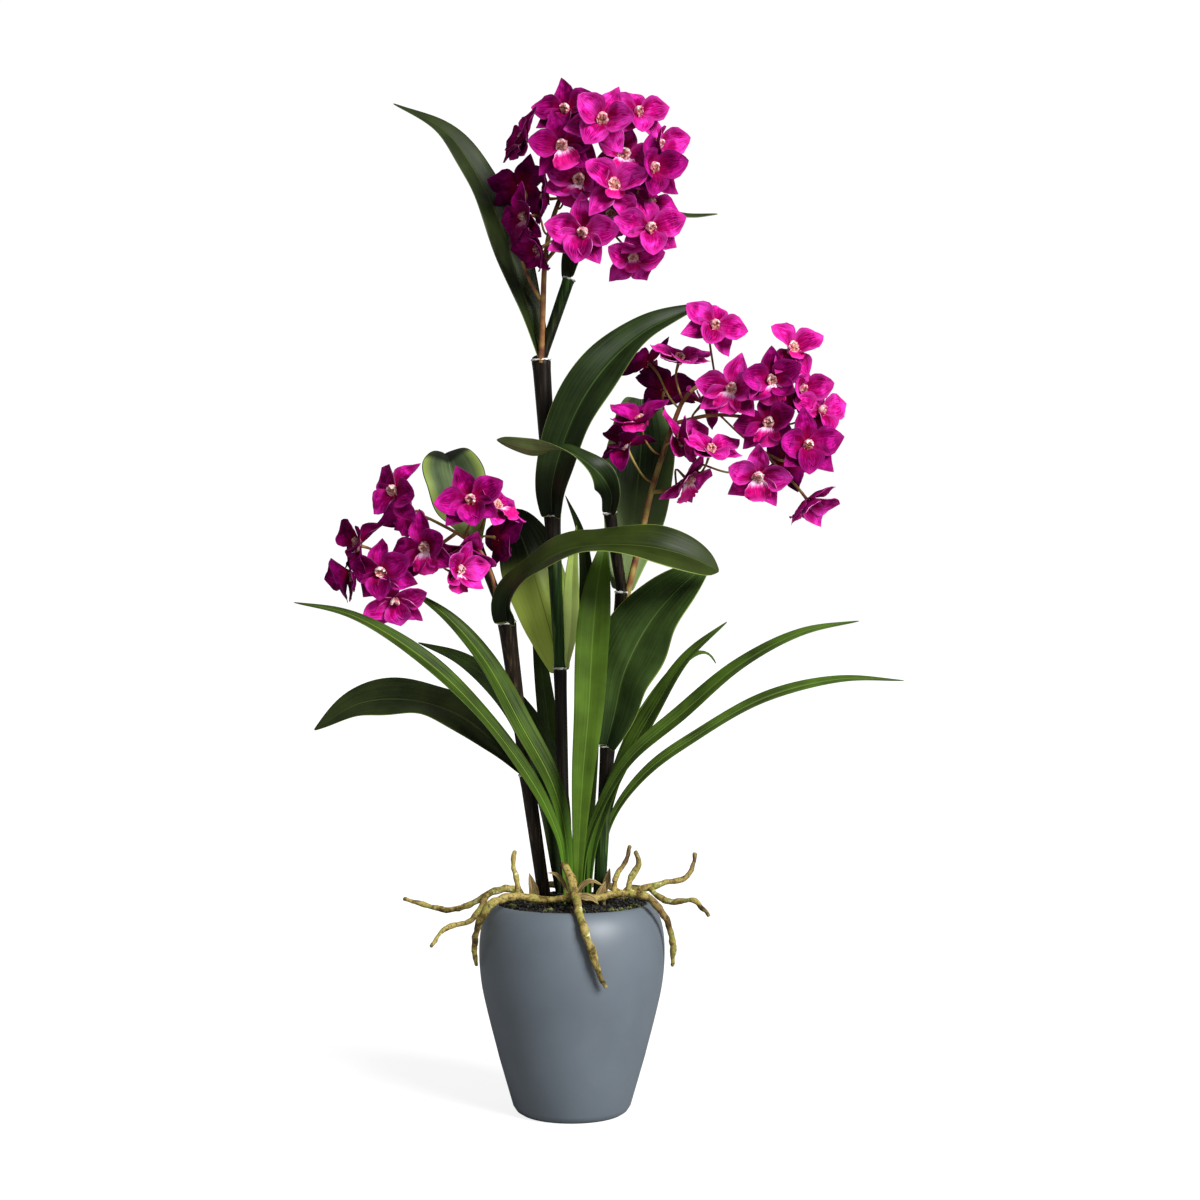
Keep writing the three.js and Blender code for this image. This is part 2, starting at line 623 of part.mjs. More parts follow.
const SPRAYS = {
  spray_top: {
    seed: 11,
    stalks: [
      [[-28, 2, 674, 2.8], [-26, -6, 720, 2.6], [-24, -10, 763, 2.4], [-18, -10, 798, 2.2],
        [-5, -10, 832, 2], [11, -12, 862, 1.6], [25, -16, 888, 1.2]],
      [[-26, -5, 726, 2], [-39, -8, 749, 1.6], [-47, -10, 778, 1.5], [-45, -12, 813, 1.2]],
      [[-24, -10, 763, 2], [-6, -16, 781, 1.6], [21, -20, 797, 1.5], [52, -22, 811, 1.2]],
    ],
    florets: [
      [27, -50, 880, 0, 5, 1.12], [58, -30, 891, 25, 10], [-4, -27, 894, -30, 15], [-8, -44, 859, -5, -5],
      [-40, -26, 868, -60, 20], [8, -28, 832, -15, 0, 1.12], [37, -46, 822, 5, 20, 1.08],
      [71, -38, 840, 30, 0], [69, -43, 787, 15, -5, 1.08], [11, -43, 783, -15, -5, 1.08],
      [-46, 9, 833, -150, 40], [-39, -32, 799, -50, -10], [-27, -25, 773, -60, -30, 0.88],
      [54, -29, 765, 5, -25], [75, -14, 866, 50, 0], [68, -20, 811, 40, 15], [-20, -16, 818, -80, 0],
      [46, -24, 854, 10, 15], [35, -33, 803, -5, -15],
    ],
  },
  spray_right: {
    seed: 23,
    stalks: [
      [[49, 3, 462, 3], [64, 4, 525, 2.8], [71, 0, 556, 2.6], [81, -4, 589, 2.4], [91, -8, 618, 2.2],
        [102, -12, 642, 2], [120, -16, 655, 1.8], [150, -22, 660, 1.6], [180, -28, 662, 1.2]],
      [[91, -8, 618, 2], [125, -16, 625, 1.7], [158, -24, 622, 1.5], [189, -30, 615, 1.2]],
      [[72, 0, 557, 2], [95, -10, 561, 1.6], [117, -14, 581, 1.2]],
    ],
    florets: [
      [125, -42, 701, 15, 10], [95, -26, 671, 20, 60], [70, 1, 673, -120, 50], [83, 18, 649, 170, 50],
      [62, -26, 616, -20, 60], [49, -19, 596, -60, 60], [94, -26, 602, 60, 20], [117, 0, 636, 90, 50],
      [122, -38, 590, 20, 50], [102, -10, 569, 60, -40], [142, -35, 646, -10, 5], [176, -44, 653, 0, 0],
      [194, -38, 680, 20, 30], [203, -26, 646, 30, 0], [220, -26, 627, 40, 10], [206, -44, 597, 20, -5, 1.06],
      [164, -42, 569, -5, -20], [175, -41, 615, -20, 10], [209, -21, 550, 60, -50], [193, 10, 586, 150, 0],
    ],
  },
  spray_left: {
    seed: 37,
    stalks: [
      [[-66, -18, 448, 2], [-70, -26, 478, 1.8], [-80, -29, 502, 1.7], [-95, -28, 515, 1.6],
        [-114, -26, 526, 1.5], [-136, -26, 536, 1.3], [-152, -28, 538, 1.2]],
      [[-103, -27, 519, 1.7], [-125, -30, 503, 1.5], [-147, -34, 490, 1.3], [-167, -38, 486, 1.2]],
    ],
    florets: [
      [-153, -52, 555, -45, 5], [-87, -54, 547, -10, 10], [-68, -34, 541, 60, 40],
      [-126, -52, 506, -25, -5, 1.1], [-100, -42, 486, 45, 0, 0.9], [-186, -38, 508, -60, 20],
      [-195, -29, 483, -80, -10], [-165, -52, 485, -20, -10], [-156, -40, 461, 10, -40],
      [-68, -18, 516, 120, 0], [-93, -26, 508, 0, -60], [-145, -9, 539, -120, 0],
    ],
  },
};

// ---- Assembly -----------------------------------------------------------------------------------

const FINISH = {
  pot: { color: 0x727c86, roughness: 0.42 },
  filler: { color: 0x8d8f8a, roughness: 0.9 },
  soil: { color: 0x1e1b16, roughness: 1 },
  cane: { color: 0x3b2d27, roughness: 0.7 },
  leaf: { color: 0x36492b, roughness: 0.45 },
  strap: { color: 0x4f7a2c, roughness: 0.5 },
  root: { color: 0x9a8848, roughness: 0.85 },
  bract: { color: 0x8c7648, roughness: 0.9 },
  spray: { color: 0xa3107f, roughness: 0.6 },
};

const plant = new THREE.Group();

function addPiece(name, finish, solid) {
  const material = new THREE.MeshStandardMaterial({ ...FINISH[finish], metalness: 0 });
  const mesh = new THREE.Mesh(toGeometry(solid), material);
  mesh.name = name;
  plant.add(mesh);
}

const widerCanes = Object.values(CANES).map((joints) => cane(joints, GAP));
const leaves = { ...BROAD_LEAVES, ...STRAP_LEAVES, ...BRACTS };
const widerStraps = Object.values({ ...STRAP_LEAVES, ...BRACTS }).map((shape) => blade(shape, GAP));
const rootBundle = (routes, grow) => join(routes.map((route) => limb(route, { sides: 6, steps: 1, grow })));
const widerRoots = Object.values(ROOTS).map((routes) => rootBundle(routes, GAP));

addPiece("pot", "pot", pot());
addPiece("filler", "filler", cutRound(filler(), widerCanes));
addPiece("soil", "soil", cutRound(soil(), [...widerCanes, ...widerStraps, ...widerRoots]));
for (const [name, joints] of Object.entries(CANES)) addPiece(name, "cane", cane(joints, 0));
for (const [name, shape] of Object.entries(leaves)) {
  addPiece(name, name.split("_")[0], cutRound(blade(shape), widerCanes));
}
for (const [name, routes] of Object.entries(ROOTS)) addPiece(name, "root", rootBundle(routes, 0));
for (const [name, plan] of Object.entries(SPRAYS)) addPiece(name, "spray", cutRound(spray(plan), widerCanes));

export default plant;
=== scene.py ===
# A potted dendrobium orchid: satin pot, dark granules, ribbed canes, satin leaves, printed fabric florets and
# cast roots. Routes are in millimetres, as the solids have them, and pieces are in metres.
import math

import bmesh
import bpy
from mathutils import Matrix, Vector


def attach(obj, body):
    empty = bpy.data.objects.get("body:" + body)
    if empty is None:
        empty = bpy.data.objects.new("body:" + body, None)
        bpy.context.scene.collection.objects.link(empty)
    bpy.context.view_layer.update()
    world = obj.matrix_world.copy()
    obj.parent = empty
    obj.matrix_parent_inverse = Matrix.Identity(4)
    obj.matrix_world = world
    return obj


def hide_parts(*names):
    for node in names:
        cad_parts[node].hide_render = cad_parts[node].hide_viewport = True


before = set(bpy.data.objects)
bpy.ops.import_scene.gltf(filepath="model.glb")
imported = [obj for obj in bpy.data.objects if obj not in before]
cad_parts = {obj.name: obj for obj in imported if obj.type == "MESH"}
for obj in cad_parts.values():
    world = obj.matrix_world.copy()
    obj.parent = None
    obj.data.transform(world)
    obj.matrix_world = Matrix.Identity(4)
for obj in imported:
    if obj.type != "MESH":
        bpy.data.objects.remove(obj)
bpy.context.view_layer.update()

MM = 0.001
LEAF_THICKNESS = 1.0
SCALE_THICKNESS = 0.7
PETAL_THICKNESS = 0.5
PEDICEL_RADIUS = 1.0
THINNEST_ROOT = 1.9
JOINT_SPACING = 9  # from one pedicel's foot to the next, along a stalk
SOIL_CROWN = 193
SOIL_EDGE = 183
SOIL_RADIUS = 76
SOIL_SEED, LEAF_SEED, ROOT_SEED, FLORET_SEED = 41, 73, 101, 211

# The way that a blade's upper face looks, from its foot to its tip
FORWARD = [(0, -1, 0), (0, -1, 0)]
UP_TO_LEFT = [(-0.5, -0.8, 0.1), (-0.5, -0.6, 0.6), (-0.1, -0.5, 0.85)]
UP_TO_RIGHT = [(0.5, -0.8, 0.1), (0.5, -0.6, 0.6), (0.1, -0.5, 0.85)]
# How a blade widens from `foot`, its share of the width there, to its widest at `peak`. `tip` rounds its end,
# `rise` keeps its foot narrow for longer, and `gutter` is how deep its fold gets towards the tip.
BLADE_SHAPE = dict(foot=0.35, peak=0.45, tip=0.8, rise=1)
STRAP_SHAPE = dict(foot=0.18, peak=0.62, rise=1.6)

# The pot's outlines are (radius, height), and a cane's joints and the roots (x, y, z, radius)
POT_OUTSIDE = [(0, 0), (46, 0), (50, 2.5), (53, 7), (65.5, 50), (76.5, 93), (81.3, 116), (83.4, 140),
               (82.6, 160), (79.8, 173), (75.5, 182), (71, 187), (68, 188)]
POT_INSIDE = [(66, 186), (75, 175), (78.6, 160), (79.4, 140), (77.3, 116), (72.5, 93), (61.5, 50), (50.5, 7)]
CANES = {
    "cane_tall": [(-4, 13, 128, 5), (-11, 14, 398, 6), (-18, 12, 536, 7.6), (-28, 8, 677, 8.6),
                  (-3, 8, 750, 5.6)],
    "cane_right": [(21, 5, 128, 6), (32, 2, 328, 6.8), (45, 4, 467, 6.2), (34, -8, 538, 5.8)],
    "cane_left": [(-16, 14, 128, 6.4), (-41, 2, 303, 6.8), (-58, -16, 440, 8.2), (-85, 0, 509, 5)],
}
BROAD_LEAVES = {
    "leaf_top_left": dict(
        route=[(-28, 8, 679), (-37, 3, 714), (-50, 6, 756), (-65, 14, 800), (-86, 24, 845), (-116, 30, 888),
               (-164, 26, 913)],
        faces=[(0.6, -0.8, 0.2), (0.5, -0.85, 0.3), (0.2, -0.5, 0.8)], width=40,
    ),
    "leaf_top_right": dict(
        route=[(-3, 8, 750), (1, 16, 770), (14, 34, 795), (40, 52, 814), (76, 66, 822), (107, 74, 818),
               (136, 80, 822)],
        faces=[(-0.4, -0.9, 0.2), (-0.3, -0.5, 0.8), (0, -0.4, 0.9)], width=34,
    ),
    "leaf_high_right": dict(
        route=[(-18, 8, 536), (-18, -8, 561), (-8, -20, 598), (10, -26, 638), (34, -24, 671), (68, -14, 701),
               (121, 4, 728)],
        faces=[(-0.2, -1, 0), (-0.3, -0.9, 0.3), (-0.3, -0.7, 0.6)], width=45, foot=0.4, gutter=1.8,
    ),
    "leaf_arched_left": dict(
        route=[(34, -12, 538), (36, -22, 552), (30, -34, 565), (19, -43, 576), (6, -49, 585), (-6, -53, 591),
               (-34, -52, 592), (-66, -42, 601)],
        faces=[(-0.4, -0.9, -0.3), (-0.3, -0.9, 0.3), (0, -0.5, 0.9), (0, 0.6, 0.75), (0.1, 0.7, 0.6)],
        width=28, foot=0.45, tip=0.5,
    ),
    "leaf_front_arch": dict(
        route=[(-57, -27, 440), (-58, -36, 457), (-49, -47, 473), (-30, -60, 489), (-3, -71, 503),
               (25, -78, 507), (51, -81, 507), (77, -80, 504), (103, -73, 497), (129, -62, 485)],
        faces=[(-0.35, -0.95, 0.1), (-0.45, -0.45, 0.75), (0, -0.42, 0.9), (0.1, -0.72, 0.68),
               (0.2, -0.85, 0.5)],
        width=52, foot=0.4, peak=0.66, tip=0.5,
    ),
    "leaf_right_broad": dict(
        route=[(31, -4, 329), (38, -16, 357), (47, -26, 396), (68, -36, 438), (96, -40, 471),
               (125, -34, 495)],
        faces=[(-0.3, -0.95, 0), (-0.4, -0.9, 0.2), (-0.4, -0.8, 0.4)], width=66, foot=0.3, peak=0.5,
    ),
    "leaf_behind_right": dict(
        route=[(45, 12, 467), (51, 28, 506), (58, 42, 552), (63, 54, 599), (64, 64, 635), (64, 80, 649),
               (63, 96, 638)],
        faces=[(0, -1, 0), (0, -1, 0), (0, -0.9, 0.4), (0, 0.3, 1)], width=66, foot=0.3, peak=0.55,
    ),
    "leaf_behind_left": dict(
        route=[(-11, 20, 396), (-22, 34, 437), (-34, 44, 478), (-46, 46, 515), (-58, 36, 535),
               (-74, 22, 532)],
        faces=[(-0.1, 1, 0), (-0.1, 1, 0.2), (-0.2, 0.3, 0.9)], width=58, foot=0.3, peak=0.55,
    ),
    "leaf_folded_tip": dict(
        route=[(-87, 9, 510), (-96, 17, 537), (-106, 22, 562), (-111, 27, 577), (-114, 36, 588),
               (-118, 49, 595)],
        faces=[(0.1, -1, 0.1), (0, -1, 0.1), (0, -0.8, 0.5), (0, -0.2, 1)],
        width=56, foot=0.2, peak=0.62, gutter=2.6,
    ),
    "leaf_low_left": dict(
        route=[(-41, -2, 304), (-65, 10, 326), (-102, 24, 354), (-149, 34, 368), (-195, 36, 365),
               (-236, 28, 341)],
        faces=[(0.3, -0.9, 0.4), (0.2, -0.7, 0.7), (-0.1, -0.7, 0.7)], width=46, foot=0.3, peak=0.6,
    ),
    "leaf_light": dict(
        route=[(-6, 13, 399), (-2, 17, 430), (-1, 18, 465), (1, 16, 500), (4, 12, 528)],
        faces=FORWARD, width=15, peak=0.4,
    ),
}
STRAP_LEAVES = {
    "strap_far_left": dict(
        route=[(-5, -25, 178), (-9, -27, 240), (-19, -34, 269), (-36, -45, 302), (-79, -62, 361),
               (-130, -78, 411), (-189, -88, 447), (-238, -90, 458)],
        faces=UP_TO_RIGHT, width=21, **STRAP_SHAPE,
    ),
    "strap_left": dict(
        route=[(-1, -14, 178), (-5, -17, 245), (-17, -22, 295), (-46, -30, 350), (-77, -34, 406),
               (-109, -34, 444), (-143, -30, 469)],
        faces=UP_TO_RIGHT, width=28, **STRAP_SHAPE,
    ),
    "strap_left_back": dict(
        route=[(-8, 27, 176), (-19, 34, 277), (-37, 46, 333), (-68, 60, 375), (-104, 74, 404),
               (-146, 84, 420)],
        faces=[(0.3, -0.9, 0.2), (0.3, -0.8, 0.5), (0.2, -0.7, 0.7)], width=34, foot=0.25,
    ),
    "strap_centre": dict(
        route=[(5, -26, 178), (6, -32, 228), (10, -36, 305), (15, -38, 362), (19, -38, 430), (24, -34, 480),
               (31, -26, 518)],
        faces=FORWARD, width=30, foot=0.2, peak=0.74, rise=1.6,
    ),
    "strap_right_low": dict(
        route=[(23, 19, 176), (30, 21, 243), (42, 23, 272), (71, 26, 306), (112, 32, 334), (177, 38, 370),
               (246, 40, 387), (305, 38, 386)],
        faces=UP_TO_LEFT, width=16, **STRAP_SHAPE,
    ),
    "strap_right": dict(
        route=[(9, -16, 178), (12, -19, 235), (24, -25, 272), (51, -37, 319), (97, -52, 360), (148, -68, 404),
               (200, -78, 432), (249, -82, 442)],
        faces=UP_TO_LEFT, width=20, **STRAP_SHAPE,
    ),
    "strap_right_short": dict(
        route=[(15, -7, 178), (19, -9, 238), (31, -12, 278), (51, -15, 322), (74, -19, 363), (103, -26, 409),
               (138, -32, 441)],
        faces=UP_TO_LEFT, width=23, **STRAP_SHAPE,
    ),
    "strap_right_curl": dict(
        route=[(25, 29, 176), (28, 34, 241), (45, 42, 308), (76, 54, 367), (109, 66, 407), (126, 72, 411),
               (134, 76, 400)],
        faces=UP_TO_LEFT, width=18, **STRAP_SHAPE,
    ),
    "strap_back_tall": dict(
        route=[(10, 32, 176), (12, 42, 276), (14, 52, 368), (14, 58, 451), (8, 56, 520), (-7, 52, 557)],
        faces=FORWARD, width=22,
    ),
    "strap_back_left": dict(
        route=[(-2, 42, 176), (-14, 54, 275), (-25, 66, 362), (-33, 76, 423), (-38, 84, 469)],
        faces=FORWARD, width=20,
    ),
}
BRACTS = {
    "bract_left": dict(
        route=[(-33, -8, 180), (-34, -12, 200), (-38, -14, 216)],
        faces=FORWARD, width=9,
    ),
    "bract_right": dict(
        route=[(24, -29, 180), (26, -29, 198), (30, -29, 211)],
        faces=FORWARD, width=10,
    ),
}
# Dry scales that curl up at the crown, between the canes' feet
CROWN_SCALES = [
    dict(route=[(-3, -31, 200), (-8, -33, 211), (-14, -34, 218), (-21, -35, 219)],
         faces=[(0, -1, 0), (-0.3, -0.8, 0.5)], width=4.5),
    dict(route=[(3, -30, 196), (9, -33, 207), (17, -36, 212), (28, -38, 208)],
         faces=[(0, -1, 0), (0.2, -0.7, 0.7)], width=5),
    dict(route=[(4, -47, 197), (11, -52, 200), (18, -54, 199), (24, -54, 194)],
         faces=[(0, -0.8, 0.6), (0.2, -0.9, 0.5)], width=7),
    dict(route=[(26, -2, 192), (31, -5, 206), (34, -9, 220)], faces=[(0, -1, 0), (-0.3, -1, 0)], width=7),
]
ROOTS = {
    "roots_front": [
        [(-8, -38, 229, 3), (0, -42, 214, 4.4), (3, -54, 202, 4), (6, -68, 194, 3.8), (9, -80, 184, 3.6),
         (14, -87, 170, 3.4), (20, -88, 152, 3.4), (25, -87, 138, 3), (31, -85, 126, 1.6)],
        [(3, -50, 201, 3.4), (-17, -42, 196, 3.4), (-37, -40, 198, 3.2), (-54, -44, 199, 3.6),
         (-68, -50, 195, 3.4), (-80, -46, 179, 3.4), (-86, -30, 156, 3), (-85, -20, 134, 1.6)],
        [(-47, -41, 198, 3), (-48, -36, 212, 2.8), (-52, -32, 225, 2.6), (-50, -30, 239, 1.6)],
        [(2, -50, 202, 3), (22, -38, 197, 3.2), (38, -34, 200, 3.4), (54, -34, 201, 3.6), (71, -37, 195, 3.4),
         (84, -32, 177, 3.2), (90, -22, 153, 3), (90, -14, 132, 1.8)],
        [(38, -34, 200, 3), (39, -26, 214, 2.4), (47, -22, 226, 2), (52, -20, 242, 1.2)],
        [(50, -34, 201, 3.2), (53, -30, 215, 3.2), (60, -28, 226, 3), (56, -28, 238, 2)],
    ],
    "roots_left": [
        [(-41, 0, 184, 3), (-47, -1, 197, 3.4), (-57, -1, 201, 3.4), (-72, -2, 197, 3.2), (-92, 2, 186, 3),
         (-110, 8, 180, 2.8), (-133, 14, 183, 2.4), (-154, 18, 189, 1.4)],
        [(-76, -4, 196, 3), (-83, -16, 183, 2.8), (-92, -26, 174, 2.6), (-110, -36, 171, 2.4),
         (-124, -44, 154, 1.4)],
    ],
    "roots_right": [
        [(38, 8, 184, 3), (51, 8, 198, 3.2), (69, 8, 200, 3.2), (87, 10, 205, 3), (101, 14, 207, 2.6),
         (109, 18, 217, 2.2), (112, 22, 230, 1.4)],
        [(70, 6, 200, 3), (78, -6, 194, 2.8), (91, -16, 190, 2.8), (107, -26, 194, 2.6), (115, -30, 188, 2.4),
         (122, -34, 180, 1.4)],
    ],
    "roots_back": [
        [(14, 52, 184, 3), (4, 56, 196, 3.4), (-14, 64, 196, 3.4), (-28, 74, 191, 3.2), (-34, 82, 174, 3),
         (-34, 83, 156, 2.6), (-40, 80, 142, 1.4)],
        [(5, 55, 196, 3), (20, 62, 196, 3.2), (34, 68, 194, 3.2), (46, 74, 182, 3), (50, 76, 164, 2.6),
         (49, 74, 148, 1.4)],
    ],
}
# A stalk's points are (x, y, z, radius), and a floret (x, y, z, turned, nod), with a size where it isn't 1
SPRAYS = {
    "spray_top": dict(
        seed=11,
        stalks=[
            [(-28, 2, 674, 2.8), (-26, -6, 720, 2.6), (-24, -10, 763, 2.4), (-18, -10, 798, 2.2),
             (-5, -10, 832, 2), (11, -12, 862, 1.6), (25, -16, 888, 1.2)],
            [(-26, -5, 726, 2), (-39, -8, 749, 1.6), (-47, -10, 778, 1.5), (-45, -12, 813, 1.2)],
            [(-24, -10, 763, 2), (-6, -16, 781, 1.6), (21, -20, 797, 1.5), (52, -22, 811, 1.2)],
        ],
        florets=[(27, -50, 880, 0, 5, 1.12), (58, -30, 891, 25, 10), (-4, -27, 894, -30, 15),
                 (-8, -44, 859, -5, -5), (-40, -26, 868, -60, 20), (8, -28, 832, -15, 0, 1.12),
                 (37, -46, 822, 5, 20, 1.08), (71, -38, 840, 30, 0), (69, -43, 787, 15, -5, 1.08),
                 (11, -43, 783, -15, -5, 1.08), (-46, 9, 833, -150, 40), (-39, -32, 799, -50, -10),
                 (-27, -25, 773, -60, -30, 0.88), (54, -29, 765, 5, -25), (75, -14, 866, 50, 0),
                 (68, -20, 811, 40, 15), (-20, -16, 818, -80, 0), (46, -24, 854, 10, 15),
                 (35, -33, 803, -5, -15)],
    ),
    "spray_right": dict(
        seed=23,
        stalks=[
            [(49, 3, 462, 3), (64, 4, 525, 2.8), (71, 0, 556, 2.6), (81, -4, 589, 2.4), (91, -8, 618, 2.2),
             (102, -12, 642, 2), (120, -16, 655, 1.8), (150, -22, 660, 1.6), (180, -28, 662, 1.2)],
            [(91, -8, 618, 2), (125, -16, 625, 1.7), (158, -24, 622, 1.5), (189, -30, 615, 1.2)],
            [(72, 0, 557, 2), (95, -10, 561, 1.6), (117, -14, 581, 1.2)],
        ],
        florets=[(125, -42, 701, 15, 10), (95, -26, 671, 20, 60), (70, 1, 673, -120, 50),
                 (83, 18, 649, 170, 50), (62, -26, 616, -20, 60), (49, -19, 596, -60, 60),
                 (94, -26, 602, 60, 20), (117, 0, 636, 90, 50), (122, -38, 590, 20, 50),
                 (102, -10, 569, 60, -40), (142, -35, 646, -10, 5), (176, -44, 653, 0, 0),
                 (194, -38, 680, 20, 30), (203, -26, 646, 30, 0), (220, -26, 627, 40, 10),
                 (206, -44, 597, 20, -5, 1.06), (164, -42, 569, -5, -20), (175, -41, 615, -20, 10),
                 (209, -21, 550, 60, -50), (193, 10, 586, 150, 0)],
    ),
    "spray_left": dict(
        seed=37,
        stalks=[
            [(-66, -18, 448, 2), (-70, -26, 478, 1.8), (-80, -29, 502, 1.7), (-95, -28, 515, 1.6),
             (-114, -26, 526, 1.5), (-136, -26, 536, 1.3), (-152, -28, 538, 1.2)],
            [(-103, -27, 519, 1.7), (-125, -30, 503, 1.5), (-147, -34, 490, 1.3), (-167, -38, 486, 1.2)],
        ],
        florets=[(-153, -52, 555, -45, 5), (-87, -54, 547, -10, 10), (-68, -34, 541, 60, 40),
                 (-126, -52, 506, -25, -5, 1.1), (-100, -42, 486, 45, 0, 0.9), (-186, -38, 508, -60, 20),
                 (-195, -29, 483, -80, -10), (-165, -52, 485, -20, -10), (-156, -40, 461, 10, -40),
                 (-68, -18, 516, 120, 0), (-93, -26, 508, 0, -60), (-145, -9, 539, -120, 0)],
    ),
}


# ---- Small tools ----

def seeded(seed):
    """A repeatable stream of numbers from 0 to 1."""
    state = seed
    while True:
        state = (state * 16807) % 2147483647
        yield state / 2147483647


def between(low, high, share):
    return low + (high - low) * share


def follow(levels, share):
    """The value at a share from 0 to 1 of a list of (share, value) pairs, eased between them."""
    for (start, low), (end, high) in zip(levels, levels[1:]):
        if share <= end:
            part = (share - start) / (end - start)
            return between(low, high, part * part * (3 - 2 * part))
    return levels[-1][1]


ROUTE_STEPS = 200  # in which a route's length is measured
LOOK_AROUND = 0.004  # the share of a route, either way, that its heading is taken over


class Route:
    """A smooth line through points, as a leaf, cane, root or stalk grows."""

    def __init__(self, points):
        self.points = [Vector(point[:3]) for point in points]
        fine = [self.by_point(i / ROUTE_STEPS) for i in range(ROUTE_STEPS + 1)]
        self.reach = [0]
        for one, other in zip(fine, fine[1:]):
            self.reach.append(self.reach[-1] + (other - one).length)
        self.length = self.reach[-1]

    def by_point(self, share):
        points = self.points
        last = len(points) - 1
        index = min(int(share * last), last - 1)
        part = share * last - index
        near, far = points[index], points[index + 1]
        before = points[index - 1] if index else near * 2 - far
        after = points[index + 2] if index + 2 <= last else far * 2 - near
        a, b, c = ((one - other).length ** 0.5 for one, other in ((near, before), (far, near), (after, far)))
        leave = ((near - before) / a - (far - before) / (a + b) + (far - near) / b) * b
        arrive = ((far - near) / b - (after - near) / (b + c) + (after - far) / c) * b
        square = far * 3 - near * 3 - leave * 2 - arrive
        cube = near * 2 - far * 2 + leave + arrive
        return near + leave * part + square * part ** 2 + cube * part ** 3

    def by_length(self, share):
        wanted = share * self.length
        index = next((i for i, reach in enumerate(self.reach) if reach >= wanted), ROUTE_STEPS)
        if index == 0:
            return self.by_point(0)
        low, high = self.reach[index - 1], self.reach[index]
        return self.by_point((index - 1 + (wanted - low) / (high - low)) / ROUTE_STEPS)

    def heading(self, share):
        ahead, behind = min(share + LOOK_AROUND, 1), max(share - LOOK_AROUND, 0)
        return (self.by_length(ahead) - self.by_length(behind)).normalized()


# ---- Modelling by hand ----

def select(piece):
    """Makes a piece the only one selected, and the one that operators act on."""
    bpy.ops.object.select_all(action="DESELECT")
    piece.select_set(True)
    bpy.context.view_layer.objects.active = piece


def work_on(piece):
    select(piece)
    bpy.ops.object.mode_set(mode="EDIT")


def done(piece):
    bpy.ops.object.mode_set(mode="OBJECT")
    return piece


def pick(piece, wanted):
    """Selects those vertices of a piece in edit mode that `wanted` says yes to."""
    bpy.ops.mesh.select_all(action="DESELECT")
    mesh = bmesh.from_edit_mesh(piece.data)
    for vertex in mesh.verts:
        if wanted(vertex):
            vertex.select_set(True)
    mesh.select_flush(True)
    bmesh.update_edit_mesh(piece.data)


def turn(rotation, centre):
    """Turns the selection about a point. With no window, the operator turns the other way round."""
    for axis, angle in zip("XYZ", rotation.to_euler("XYZ")):
        if abs(angle) > 1e-6:
            bpy.ops.transform.rotate(
                value=-angle, orient_axis=axis, orient_type="GLOBAL", center_override=centre,
            )


def roughen(offset, seed):
    """Moves each selected vertex its own way, by up to `offset` millimetres."""
    bpy.ops.transform.vertex_random(offset=offset * MM, uniform=1.0, normal=0.0, seed=seed)


def close_up(piece):
    """Ends the modelling of a closed piece, with its faces looking outwards."""
    bpy.ops.mesh.select_all(action="SELECT")
    bpy.ops.mesh.normals_make_consistent(inside=False)
    return done(piece)


def finish_with(piece, kind, **settings):
    """Adds a modifier and applies it."""
    select(piece)
    modifier = piece.modifiers.new(kind.lower(), kind)
    for name, value in settings.items():
        setattr(modifier, name, value)
    bpy.ops.object.modifier_apply(modifier=modifier.name)


def crumple(piece, texture, strength, direction="NORMAL"):
    """Moves a surface in and out by a texture, over `strength` millimetres in all."""
    finish_with(
        piece, "DISPLACE", texture=texture, texture_coords="LOCAL", strength=strength * MM,
        direction=direction,
    )


def smooth(piece, degrees):
    select(piece)
    bpy.ops.object.shade_smooth_by_angle(angle=math.radians(degrees))


def put_in_mesh(piece):
    select(piece)
    bpy.ops.object.transform_apply(location=True, rotation=True, scale=True)


def dress(piece, *finishes):
    piece.data.materials.clear()
    for finish in finishes:
        piece.data.materials.append(finish)


def join(pieces):
    select(pieces[0])
    for piece in pieces[1:]:
        piece.select_set(True)
    bpy.ops.object.join()
    return pieces[0]


def copy_of(piece, matrix):
    """A copy with its own mesh, put in place by a matrix."""
    select(piece)
    bpy.ops.object.duplicate()
    made = bpy.context.object
    made.matrix_world = matrix
    put_in_mesh(made)
    return made


def hand_in(piece, name, slot, *nodes):
    """Names a finished piece and says what it rides on and what it stands for. `slot`, where its finish
    belongs, is not used.
    """
    piece.name = piece.data.name = name
    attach(piece, "root")
    if nodes:
        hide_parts(*nodes)


def clouds(name, size, depth):
    texture = bpy.data.textures.new(name, "CLOUDS")
    texture.noise_scale = size * MM
    texture.noise_depth = depth
    return texture


